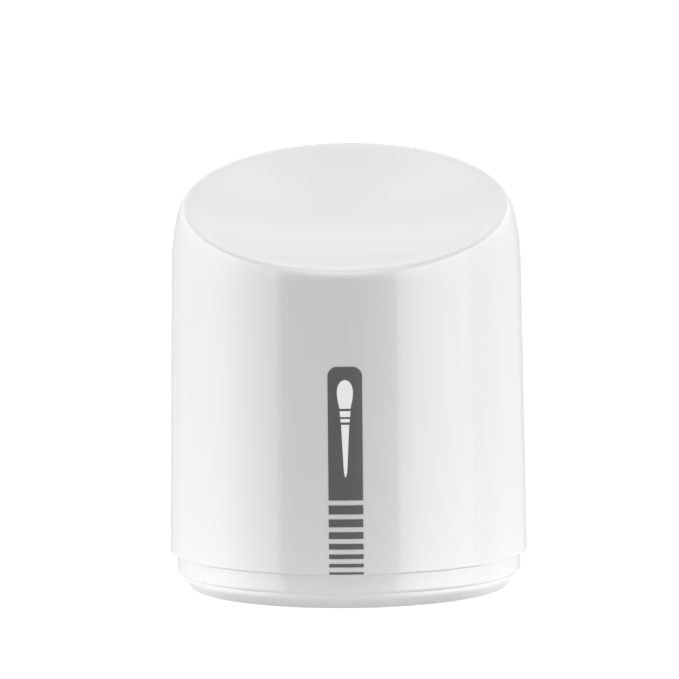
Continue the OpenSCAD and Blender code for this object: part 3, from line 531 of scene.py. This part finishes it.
class BRUSHCLEANER_OT_front_strip(Operator):
    """Build the printed strip, its bars and the brush mark"""
    bl_idname = "brush_cleaner.front_strip"
    bl_label = "Front strip"

    def execute(self, context):
        settings = context.scene.brush_cleaner
        k = settings.strip
        form = CoverForm(settings.cover)
        looks = settings.finishes
        mesh = bmesh.new()
        half, bottom = k.width / 2, k.top - k.solid
        rows = [(bottom + (k.solid - k.corner) * n / 12, half) for n in range(13)]
        rows += [(k.top - k.corner * (1 - math.sin(a)), half - k.corner * (1 - math.cos(a)))
                 for a in (math.radians(10 * n) for n in range(1, 10))]
        add_strip_film(mesh, form, k.lift, k.film, rows)
        top = bottom
        for n in range(k.bars):
            tall = k.bar_first - n * k.bar_step
            top -= k.bar_gap + tall
            add_strip_film(mesh, form, k.lift, k.film, [(top, half), (top + tall, half)])
        print_grey = finish("strip_print", looks.print_grey, 0.22, shade=0.05, blotch=90, grain=2600,
                            height=1.2e-6, spread=0.06, IOR=1.45)
        place_piece("strip_film", mesh, "cover", "strip_grey", print_grey, "front_strip")
        self.add_mark(form, k, looks)
        return {"FINISHED"}

    def add_mark(self, form, k, looks):
        """A small brush in white print: bristles on top, two ferrule bands and a tapered handle.

        Each part runs between two shares of the mark's length, t going from 0 to 1 along it.
        """
        mesh = bmesh.new()
        start = k.top - k.mark_top - k.mark_length
        wide = k.mark_width / 2
        lift = k.lift + k.film

        def part(low, high, steps, half_at):
            rows = [(start + k.mark_length * (low + (high - low) * n / steps),
                     max(wide * half_at(n / steps), 0.02 * MM)) for n in range(steps + 1)]
            add_strip_film(mesh, form, lift, k.mark_film, rows, 8)

        part(0.0, 0.54, 28, lambda t: (0.16 + 0.3 * t) * math.sqrt(max(0.0, 1 - (1 - min(1, 6 * t)) ** 2)))
        part(0.565, 0.6, 2, lambda t: 0.5 + 0.05 * t)
        part(0.62, 0.68, 3, lambda t: 0.56 + 0.06 * t)
        part(0.705, 1.0, 24, lambda t: (0.62 + 0.38 * math.sin(1.9 * t)) * math.sqrt(max(0.0, 1 - t ** 4)))
        # Painted light: the white print gets a faint glow of its own, so it shows brighter than the lit print
        # would.
        white = finish("mark_print_painted_glow", looks.mark, 0.25, shade=0.02, blotch=120, grain=2400, height=1e-6,
                       IOR=1.45, Emission_Color=(1, 1, 1, 1), Emission_Strength=0.15)
        place_piece("strip_mark", mesh, "cover", "white_gloss", white)


class BRUSHCLEANER_OT_scrub_pad(Operator):
    """Build the ribbed silicone scrub pad"""
    bl_idname = "brush_cleaner.scrub_pad"
    bl_label = "Scrub pad"

    def execute(self, context):
        settings = context.scene.brush_cleaner
        k = settings.wash
        sheet_top = PAD_HIGH.z - k.nub_height
        hole, skirt, rib_length = 5.6 * MM, 1.8 * MM, 7.4 * MM
        ring_places, rib_place, nub_place = (10 * MM, 13 * MM, 16 * MM), 22 * MM, 29.8 * MM
        inner = TABLE_HIGH.x + 0.1 * MM
        low, seat = PAD_LOW.z, PAD_LOW.z + skirt
        mesh = bmesh.new()
        lathe(mesh, rounded([(hole, seat, 0), (inner, seat, 0), (inner, low, 0), (PAD_HIGH.x, low, 0.5 * MM),
                             (PAD_HIGH.x, sheet_top, 0.8 * MM), (hole, sheet_top, 0)]), 144)
        half, foot, top = k.rib_width / 2, sheet_top - SINK, sheet_top + k.rib_height
        for radius in ring_places:
            lathe(mesh, rounded([(radius - half, foot, 0), (radius + half, foot, 0),
                                 (radius + half, top, 0.55 * MM), (radius - half, top, 0.55 * MM)]), 96)
        for i in range(k.ribs):
            turn = math.tau * i / k.ribs
            pill(mesh, polar(rib_place, turn, sheet_top), turn, rib_length, half, k.rib_height)
        for i in range(k.nubs):
            turn = math.tau * i / k.nubs
            pill(mesh, polar(nub_place, turn, sheet_top), turn, 0, k.nub_radius, k.nub_height)
        silicone = finish("pale_silicone", settings.finishes.silicone, 0.42, shade=0.04, blotch=80,
                          grain=1800, height=4e-6, spread=0.06, IOR=1.42, Subsurface_Weight=0.15,
                          Subsurface_Scale=0.002)
        place_piece("ribbed_pad", mesh, "scrub_set", "silicone_pale", silicone, "scrub_pad")
        return {"FINISHED"}


PLATED = dict(shade=0.05, grain=4200, height=2e-6, spread=0.07, Metallic=1.0)


def part_finishes(looks):
    """Each carried-over part's finish: name, colour, roughness, further settings, and the CAD nodes."""
    metal = dict(grain=3500, height=3e-6, spread=0.08, Metallic=1.0)
    return [
        ("polished_white_base", looks.shell, looks.shell_gloss + 0.02,
         dict(shade=0.006, blotch=30, grain=420, height=2.5e-6, spread=0.02, IOR=1.5),
         ["lower_housing", "wash_bowl", "top_deck", "pad_knob"]),
        ("fine_grained_white", looks.base, 0.34, dict(shade=0.01, grain=3200, height=5e-6, spread=0.05),
         ["base_plate"]),
        ("button_satin", looks.button, 0.4, dict(grain=3000, height=5e-6, spread=0.06), ["power_button"]),
        ("frosted_clear", (0.86, 0.89, 0.9), 0.3,
         dict(shade=0.01, grain=2500, height=4e-6, Subsurface_Weight=0.25, Subsurface_Scale=0.003,
          IOR=1.49), ["splash_guard", "turntable"]),
        ("gasket_silicone", looks.silicone, 0.45, dict(grain=1500, height=3e-6), ["deck_gasket"]),
        ("red_silicone", (0.55, 0.07, 0.05), 0.4, dict(grain=1500, height=3e-6), ["bowl_seal"]),
        ("seal_rubber", looks.rubber, 0.6, dict(shade=0.15, grain=2600, height=8e-6, spread=0.08),
         ["shaft_seal"]),
        ("natural_gear_plastic", (0.82, 0.79, 0.68), 0.38, dict(shade=0.02, grain=1200, height=3e-6),
         ["drive_gear", "compound_gear"]),
        ("machined_steel", looks.steel, 0.26, dict(shade=0.06, **metal),
         ["motor_screws", "gear_plate", "gear_axle", "drive_shaft", "motor_shaft", "motor_can",
          "shaft_clip"]),
        ("turned_brass", looks.brass, 0.24, dict(shade=0.08, **metal),
         ["motor_pinion", "lower_bush", "upper_bush"]),
        ("solder_mask", (0.01, 0.09, 0.035), 0.3, dict(shade=0.2, blotch=900, grain=2200, height=6e-6),
         ["circuit_board", "switch_board"]),
        ("black_moulding", (0.012, 0.012, 0.013), 0.45, dict(shade=0.2, grain=2500, height=6e-6),
         ["tact_switch", "battery_cradle"]),
        ("red_moulding", (0.45, 0.03, 0.02), 0.4, dict(shade=0.05, grain=2000, height=4e-6),
         ["switch_plunger"]),
        ("cell_wrap", (0.02, 0.13, 0.38), 0.25, dict(shade=0.06, grain=800, height=6e-6), ["battery_cell"]),
        ("red_insulation", (0.5, 0.015, 0.01), 0.36, dict(shade=0.06, grain=1800, height=3e-6),
         ["positive_leads"]),
        ("black_insulation", (0.014, 0.014, 0.015), 0.36, dict(shade=0.15, grain=1800, height=3e-6),
         ["negative_leads"]),
        ("lamp_lens", (0.8, 0.88, 0.8), 0.12,
         dict(grain=1500, height=1e-6, Transmission_Weight=0.8, IOR=1.49), ["charge_lamp"]),
    ]


class BRUSHCLEANER_OT_finishes(Operator):
    """Give every carried-over part its finish"""
    bl_idname = "brush_cleaner.finishes"
    bl_label = "Part finishes"

    def execute(self, context):
        for name, tone, roughness, more, parts in part_finishes(context.scene.brush_cleaner.finishes):
            material = finish(name, tone, roughness, **more)
            for part in parts:
                paint(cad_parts[part], material)
        return {"FINISHED"}


class BRUSHCLEANER_OT_feet(Operator):
    """Build the four rubber feet with rounded edges and hollow faces"""
    bl_idname = "brush_cleaner.feet"
    bl_label = "Rubber feet"

    def execute(self, context):
        settings = context.scene.brush_cleaner
        k = settings.base
        hollow, standing, blend = 0.55, 0.68, 0.3 * MM  # shares of the radius, and the rounding between
        mesh = bmesh.new()
        for low, high in solids_of("rubber_feet"):
            radius, tall = (high.x - low.x) / 2, high.z - low.z
            outline = rounded([(0, k.foot_dimple, 0), (hollow * radius, k.foot_dimple, blend),
                               (standing * radius, 0, blend), (radius, 0, k.foot_round),
                               (radius, tall, 0), (0, tall, 0)])
            lathe(mesh, outline, 64, under(low, high))
        rubber = finish("foot_rubber", settings.finishes.rubber, 0.72, shade=0.15, grain=2600, height=1.2e-5,
                        spread=0.08)
        place_piece("foot_pads", mesh, "base", "rubber_dark", rubber, "rubber_feet")
        return {"FINISHED"}


class BRUSHCLEANER_OT_case_screws(Operator):
    """Build the case screws: domed heads with a cross recess on threaded shanks"""
    bl_idname = "brush_cleaner.case_screws"
    bl_label = "Case screws"

    def execute(self, context):
        settings = context.scene.brush_cleaner
        k = settings.base
        places = solids_of("case_screws")
        tall = places[0][1].z - places[0][0].z
        screw = self.screw(k, tall)
        mesh = bmesh.new()
        for low, high in places:
            turned = screw.data.copy()
            turn = Matrix.Rotation(40 * low.x / MM, 4, "Z")  # each screw ends at a turn of its own
            turned.transform(Matrix.Translation(under(low, high)) @ turn)
            mesh.from_mesh(turned)
            bpy.data.meshes.remove(turned)
        bpy.data.objects.remove(screw)
        zinc = finish("zinc_plate", settings.finishes.steel, 0.24, **PLATED)
        place_piece("cross_head_screws", mesh, "base", "steel", zinc, "case_screws")
        return {"FINISHED"}

    def screw(self, k, tall):
        """One screw, its head down at height 0, with sharp ridges that fade out at its point."""
        mesh = bmesh.new()
        sides, steps_per_turn = 24, 12
        core = 0.78 * k.shank_radius
        head = rounded([(0, 0, 0), (k.head_radius, 0, 0.75 * MM), (k.head_radius, k.head_height, 0.08 * MM),
                        (core, k.head_height, 0)])
        rings = [circle(r, z, sides) for r, z in head]
        steps = math.ceil((tall - k.head_height) / k.thread_pitch * steps_per_turn)
        for n in range(1, steps + 1):
            z = k.head_height + (tall - k.head_height) * n / steps
            point = min(1.0, (tall - z) / MM + 0.25)
            ring = []
            for i in range(sides):
                phase = ((z - k.head_height) / k.thread_pitch - i / sides) % 1
                crest = max(0.0, 1 - abs(2 * phase - 1) * 1.8)
                ring.append(polar((core + (k.shank_radius - core) * crest) * point, math.tau * i / sides, z))
            rings.append(ring)
        rings.append([Vector((0, 0, tall))])
        skin(mesh, rings, closed=False)
        screw = to_object("screw", mesh)
        # A recess cutter's half diagonals, its depth, its half width, and its reach out of the face
        wide, narrow, depth, half, past = 2.1 * MM, 1.0 * MM, 1.0 * MM, 0.3 * MM, 0.2 * MM
        for turn in (0, 90):
            slot = bmesh.new()
            bmesh.ops.create_cone(slot, segments=4, radius1=wide, radius2=narrow, depth=depth, cap_ends=True)
            slot.transform(Matrix.Rotation(math.radians(45), 4, "Z"))
            for v in slot.verts:
                v.co.y = math.copysign(half, v.co.y)
                v.co.z += depth / 2 - past
            slot.transform(Matrix.Rotation(math.radians(turn), 4, "Z"))
            carve(screw, to_object("cutter", slot))
        return screw


class BRUSHCLEANER_OT_charge_socket(Operator):
    """Build the charging socket: a drawn steel shell, a black tongue and gold contacts"""
    bl_idname = "brush_cleaner.charge_socket"
    bl_label = "Charging socket"

    def execute(self, context):
        settings = context.scene.brush_cleaner
        k, looks = settings.base, settings.finishes
        low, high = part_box("charge_socket")
        middle = (low + high) / 2
        half, radius = (high.x - low.x) / 2, (high.z - low.z) / 2
        lip, floor = 0.12 * MM, high.y - k.socket_depth

        def ring(inset, y):
            """A slot-shaped ring of points round the socket's middle line."""
            ways = [(math.cos(a), math.sin(a)) for a in (math.tau * (i + 0.5) / 32 for i in range(32))]
            return [Vector((middle.x + math.copysign(half - radius, x) + (radius - inset) * x, y,
                            middle.z + (radius - inset) * z)) for x, z in ways]

        mesh = bmesh.new()
        rings = [ring(inset, y) for inset, y in (
            (0, low.y), (0, high.y - lip), (lip, high.y), (k.socket_wall - lip / 2, high.y),
            (k.socket_wall, high.y - lip), (k.socket_wall, floor))]
        tips = [[Vector((middle.x, y, middle.z))] for y in (low.y, floor)]
        skin(mesh, tips[:1] + rings + tips[1:], closed=False)
        steel = finish("drawn_steel", looks.steel, 0.2, **PLATED)
        place_piece("socket_shell", mesh, "base", "steel", steel, "charge_socket")

        wide, thick = k.tongue_width / 2, k.tongue_thick / 2
        front = high.y - 1.2 * MM
        mesh = bmesh.new()
        block(mesh, Vector((middle.x - wide, floor, middle.z - thick)),
              Vector((middle.x + wide, front, middle.z + thick)))
        bmesh.ops.bevel(mesh, geom=mesh.edges, offset=0.12 * MM, segments=3, affect="EDGES")
        black = finish("socket_black", (0.012, 0.012, 0.013), 0.4, shade=0.2, grain=2500, height=4e-6)
        place_piece("socket_tongue", mesh, "base", "black_plastic", black)

        mesh = bmesh.new()
        pitch = (k.tongue_width - 0.6 * MM) / k.contacts
        for side in (-1, 1):
            for n in range(k.contacts):
                x = middle.x + (n - (k.contacts - 1) / 2) * pitch
                z = middle.z + side * thick
                block(mesh, Vector((x - 0.28 * pitch, floor + 0.5 * MM, z - 0.03 * MM)),
                      Vector((x + 0.28 * pitch, front - 0.25 * MM, z + 0.03 * MM)))
        gold = finish("plated_gold", looks.gold, 0.22, shade=0.05, grain=4000, height=1e-6, spread=0.06,
                      Metallic=1.0)
        place_piece("socket_contacts", mesh, "base", "brass", gold)
        return {"FINISHED"}


class BRUSHCLEANER_OT_button_symbol(Operator):
    """Build the ring symbol on the power button"""
    bl_idname = "brush_cleaner.button_symbol"
    bl_label = "Button symbol"

    def execute(self, context):
        settings = context.scene.brush_cleaner
        k = settings.base
        low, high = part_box("power_button")
        centre = Vector(((low.x + high.x) / 2, low.y, (low.z + high.z) / 2))
        line, steps = k.symbol_line / 2, 60
        front, back = 0.03 * MM, 0.35 * MM  # of the ring, behind the button's face
        section = ((-line, back), (line, back), (line, front), (-line, front))
        mesh = bmesh.new()
        rings = []
        for n in range(steps + 1):
            a = math.pi / 2 + k.symbol_gap + (math.tau - 2 * k.symbol_gap) * n / steps
            way = Vector((math.cos(a), 0, math.sin(a)))
            rings.append([centre + way * (k.symbol_radius + out) + Vector((0, y, 0)) for out, y in section])
        made = skin(mesh, rings, closed=False)
        mesh.faces.new(made[0])
        mesh.faces.new(made[-1])
        block(mesh, centre + Vector((-line, -0.02 * MM, 0.7 * MM)),
              centre + Vector((line, 0.1 * MM, 3.1 * MM)))
        ink = finish("symbol_print", settings.finishes.symbol, 0.35, shade=0.05, grain=2600, height=1e-6)
        place_piece("button_symbol", mesh, "button", "button_grey", ink)
        return {"FINISHED"}


# ---- Studio -----------------------------------------------------------------------------

def cover_with(tree, lower, upper, share_of_upper):
    """Makes a material's surface show one shader over another, by a number or a node output.

    Where the share is None, the two are added up.
    """
    both = tree.nodes.new("ShaderNodeAddShader" if share_of_upper is None else "ShaderNodeMixShader")
    if isinstance(share_of_upper, float):
        both.inputs["Fac"].default_value = share_of_upper
    elif share_of_upper:
        tree.links.new(share_of_upper, both.inputs["Fac"])
    for source, socket in zip((lower, upper), [i for i in both.inputs if i.type == "SHADER"]):
        tree.links.new(source, socket)
    tree.links.new(both.outputs["Shader"], tree.nodes["Material Output"].inputs["Surface"])


def emitter(name, brightness, cover=lambda tree: 1.0):
    """A plain light-giving stage finish whose strength comes from a node output.

    What is behind it shines through where cover gives less than 1. Where cover gives None, the
    finish adds its own light to all that is behind it.
    """
    made = bpy.data.materials.new(name)
    made.use_nodes = True
    tree = made.node_tree
    tree.nodes.remove(tree.nodes["Principled BSDF"])
    light = add_node(tree, "ShaderNodeEmission")
    tree.links.new(brightness(tree), light.inputs["Strength"])
    clear = add_node(tree, "ShaderNodeBsdfTransparent")
    cover_with(tree, clear.outputs["BSDF"], light.outputs["Emission"], cover(tree))
    return made


def ramp(tree, value, stops):
    """Brightness along straight lines between (position, strength) stops."""
    curve = tree.nodes.new("ShaderNodeFloatCurve")
    low, high = stops[0][0], stops[-1][0]
    top = max(s for _, s in stops)
    line = curve.mapping.curves[0]
    while len(line.points) < len(stops):
        line.points.new(0.5, 0.5)
    for point, (where, strength) in zip(line.points, stops):
        point.location = ((where - low) / (high - low), strength / top)
        point.handle_type = "VECTOR"
    curve.mapping.update()
    along = add_node(tree, "ShaderNodeMapRange", {"From Min": low, "From Max": high})
    tree.links.new(value, along.inputs["Value"])
    tree.links.new(along.outputs["Result"], curve.inputs["Value"])
    return maths(tree, "MULTIPLY", curve.outputs["Value"], top)


# Strength of the light round the object, by degrees to the right of the front: two broad soft
# boxes with a dim gap between them at the front, with steep edges on both sides of the gap
LIGHT_RING = [
    (-180, 0.9), (-160, 1.0), (-140, 2.0), (-115, 4.1), (-98, 5.9), (-84, 6.4), (-72, 5.8), (-46, 3.4),
    (-41, 1.3), (-32, 0.7), (0, 0.5), (18, 1.4), (31.5, 2.5), (34, 4.4), (46, 6.3), (70, 7.3), (84, 7.1),
    (90, 6.1), (115, 4.4), (132, 2.8), (158, 1.1), (180, 0.9)]
# Soft cards above the ring: name, direction to the right of the front and height in degrees, width
# and tallness in degrees, strength
SOFT_CARDS = [("front_top_card", 0, 58, 190, 64, 2.6), ("left_top_card", -138, 32, 84, 50, 0.7),
              ("right_top_card", 138, 32, 84, 50, 0.7), ("back_card", 180, 40, 24, 16, 0.25),
              ("left_high_card", -162, 60, 34, 26, 0.6), ("right_high_card", 162, 60, 34, 26, 0.6)]
# Brightness of the floor near the object, as (radius in metres, factor)
BOUNCE_RINGS = [(0.0, 0.8), (0.044, 0.8), (0.051, 1.35), (0.06, 1.3), (0.07, 0.92), (0.11, 0.92),
                (0.16, 0.92)]


def light_ring(settings):
    """A round card about the object, as bright in each direction as LIGHT_RING says."""
    mesh = bmesh.new()
    tall = settings.card_height
    skin(mesh, [circle(settings.card_radius, height, 120) for height in (-tall, tall)], closed=False)
    card = to_object("light_ring", mesh)

    def strength(tree):
        place = position(tree)
        turn = maths(tree, "ARCTAN2", place["X"], maths(tree, "MULTIPLY", place["Y"], -1.0))
        return ramp(tree, turn, [(math.radians(a), s) for a, s in LIGHT_RING])

    def height_fade(tree):
        fade = add_node(tree, "ShaderNodeMapRange", {"From Min": 0.55 * tall, "From Max": tall,
                                                     "To Min": 1.0, "To Max": 0.0})
        fade.interpolation_type = "SMOOTHSTEP"
        tree.links.new(maths(tree, "ABSOLUTE", position(tree)["Z"]), fade.inputs["Value"])
        return fade.outputs["Result"]

    paint(card, emitter("ring_light", strength, height_fade))
    for_gloss_only(card)


def by_glow(strength):
    """A brightness that follows the mesh's own glow values, times strength."""
    def level(tree):
        glow = tree.nodes.new("ShaderNodeAttribute")
        glow.attribute_name = "glow"
        return maths(tree, "MULTIPLY", glow.outputs["Fac"], strength)
    return level


def for_gloss_only(card):
    """Lets only the gloss of the object see a light card."""
    card.visible_camera = card.visible_diffuse = card.visible_shadow = card.visible_transmission = False


def soft_card(settings, name, azimuth, elevation, width, tall, strength):
    """A patch of a dome about the object, brightest in its middle and fading out to its edges."""
    mesh = bmesh.new()
    glow = mesh.verts.layers.float.new("glow")
    distance = settings.card_radius - settings.card_inset
    steps = 24
    rows = []
    for i in range(steps + 1):
        v = 2 * i / steps - 1
        rise = math.radians(elevation + v * tall / 2)
        row = []
        for j in range(steps + 1):
            u = 2 * j / steps - 1
            turn = math.radians(azimuth - 90 + u * width / 2)
            vert = mesh.verts.new(polar(distance * math.cos(rise), turn, distance * math.sin(rise)))
            middle = math.cos(u * math.pi / 2) * math.cos(v * math.pi / 2)
            vert[glow] = middle ** 1.5 if abs(u * v) < 1 else 0.0
            row.append(vert)
        rows.append(row)
    for low, high in zip(rows, rows[1:]):
        for j in range(steps):
            mesh.faces.new([low[j], low[j + 1], high[j + 1], high[j]])
    card = to_object(name, mesh)
    paint(card, emitter(name, by_glow(strength), lambda tree: None))
    for_gloss_only(card)


def bounce_disc(settings):
    """The lit floor near the object, which only its dull shading sees."""
    mesh = bmesh.new()
    glow = mesh.verts.layers.float.new("glow")
    rings = skin(mesh, [circle(radius, -1 * MM, 64) for radius, _ in BOUNCE_RINGS], closed=False)
    for ring, (_, factor) in zip(rings, BOUNCE_RINGS):
        for vert in ring:
            vert[glow] = factor
    disc = to_object("bounce_disc", mesh)
    paint(disc, emitter("bounce_light", by_glow(settings.bounce)))
    disc.visible_camera = disc.visible_glossy = disc.visible_shadow = disc.visible_transmission = False


class BRUSHCLEANER_OT_studio(Operator):
    """Set up the floor, the light cards, the sky and the camera"""
    bl_idname = "brush_cleaner.studio"
    bl_label = "Studio"

    def execute(self, context):
        settings = context.scene.brush_cleaner.studio
        self.add_floor(settings)
        self.add_sky(settings)
        light_ring(settings)
        for card in SOFT_CARDS:
            soft_card(settings, *card)
        bounce_disc(settings)
        self.add_camera(context, settings)
        context.scene.view_settings.view_transform = "Standard"
        return {"FINISHED"}

    def add_floor(self, settings):
        """A white sweep: flat near the object and curving up far away."""
        mesh = bmesh.new()
        flat, bend = 6.0, 3.0
        rings = [circle(radius, 0, 96) for radius in (0, 0.2, 1, 3, flat)]
        for a in (math.radians(10 * n) for n in range(1, 10)):
            rings.append(circle(flat + bend * math.sin(a), bend * (1 - math.cos(a)), 96))
        skin(mesh, rings, closed=False)
        floor = to_object("studio_floor", mesh, 60)
        white = finish("sweep_white", (0.9, 0.9, 0.9), 0.6, shade=0.002, height=0.0,
                       Emission_Color=(1, 1, 1, 1), Emission_Strength=settings.floor_glow)
        self.open_from_below(white.node_tree)
        paint(floor, white)
        floor.visible_diffuse = floor.visible_glossy = False
        floor.visible_transmission = floor.visible_shadow = False

    def open_from_below(self, tree):
        """Makes the back of the sweep clear, so that the object's underside can be looked at."""
        side = add_node(tree, "ShaderNodeNewGeometry").outputs["Backfacing"]
        clear = add_node(tree, "ShaderNodeBsdfTransparent").outputs["BSDF"]
        cover_with(tree, clear, tree.nodes["Principled BSDF"].outputs["BSDF"], side)

    def add_sky(self, settings):
        """Light that changes only with height: brightest overhead, dimmest at the horizon."""
        world = bpy.data.worlds.new("studio_sky")
        world.use_nodes = True
        tree = world.node_tree
        glow = ramp(tree, position(tree, "Generated")["Z"], [
            (-1, settings.ground), (-0.15, settings.ground), (0.05, settings.horizon), (1, settings.sky)])
        tree.links.new(glow, tree.nodes["Background"].inputs["Strength"])
        tree.nodes["Background"].inputs["Color"].default_value = (1, 1, 1, 1)
        bpy.context.scene.world = world

    def add_camera(self, context, settings):
        """A long lens at the settings' place, aimed a little above and left of the object's middle."""
        az, el = settings.azimuth, settings.elevation
        back = Vector((math.sin(az) * math.cos(el), -math.cos(az) * math.cos(el), math.sin(el)))
        right = Vector((math.cos(az), math.sin(az), 0))
        up = back.cross(right)
        middle = Vector((0, 0, settings.aim_height))
        place = middle + back * settings.distance
        aim = middle + up * settings.aim_up - right * settings.aim_left
        toward = (aim - place).normalized()
        side = toward.cross(up).normalized()
        over = side.cross(toward)
        c, s = math.cos(settings.roll), math.sin(settings.roll)
        side, over = side * c - over * s, over * c + side * s
        data = bpy.data.cameras.new("studio_camera")
        data.lens = settings.lens
        data.sensor_width = 36
        data.clip_end = 100
        camera = bpy.data.objects.new("studio_camera", data)
        turn = Matrix((side, over, -toward)).transposed()
        camera.matrix_world = Matrix.Translation(place) @ turn.to_4x4()
        context.scene.collection.objects.link(camera)
        context.scene.camera = camera


class BRUSHCLEANER_PT_panel(Panel):
    """Lists the build steps and the settings"""
    bl_label = "Brush Cleaner"
    bl_idname = "BRUSHCLEANER_PT_panel"
    bl_space_type = "VIEW_3D"
    bl_region_type = "UI"
    bl_category = "Brush Cleaner"

    def draw(self, context):
        layout = self.layout
        for step in STEPS:
            layout.operator(step.bl_idname)
        for group in BrushCleanerSettings.__annotations__:
            values = getattr(context.scene.brush_cleaner, group)
            box = layout.box()
            box.label(text=group.capitalize())
            for name in values.__annotations__:
                box.prop(values, name)


SETTINGS = (CoverSizes, StripSizes, WashSizes, BaseSizes, Finishes, StudioSettings, BrushCleanerSettings)
STEPS = (BRUSHCLEANER_OT_studio, BRUSHCLEANER_OT_cover, BRUSHCLEANER_OT_front_strip,
         BRUSHCLEANER_OT_scrub_pad, BRUSHCLEANER_OT_finishes, BRUSHCLEANER_OT_feet,
         BRUSHCLEANER_OT_case_screws, BRUSHCLEANER_OT_charge_socket, BRUSHCLEANER_OT_button_symbol)
CLASSES = SETTINGS + STEPS + (BRUSHCLEANER_PT_panel,)


def register():
    for cls in CLASSES:
        bpy.utils.register_class(cls)
    bpy.types.Scene.brush_cleaner = PointerProperty(type=BrushCleanerSettings)


def unregister():
    del bpy.types.Scene.brush_cleaner
    for cls in reversed(CLASSES):
        bpy.utils.unregister_class(cls)


def main():
    """Registers the add-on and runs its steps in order."""
    register()
    for step in STEPS:
        getattr(bpy.ops.brush_cleaner, step.bl_idname.split(".")[1])()


if __name__ == "__main__":
    main()
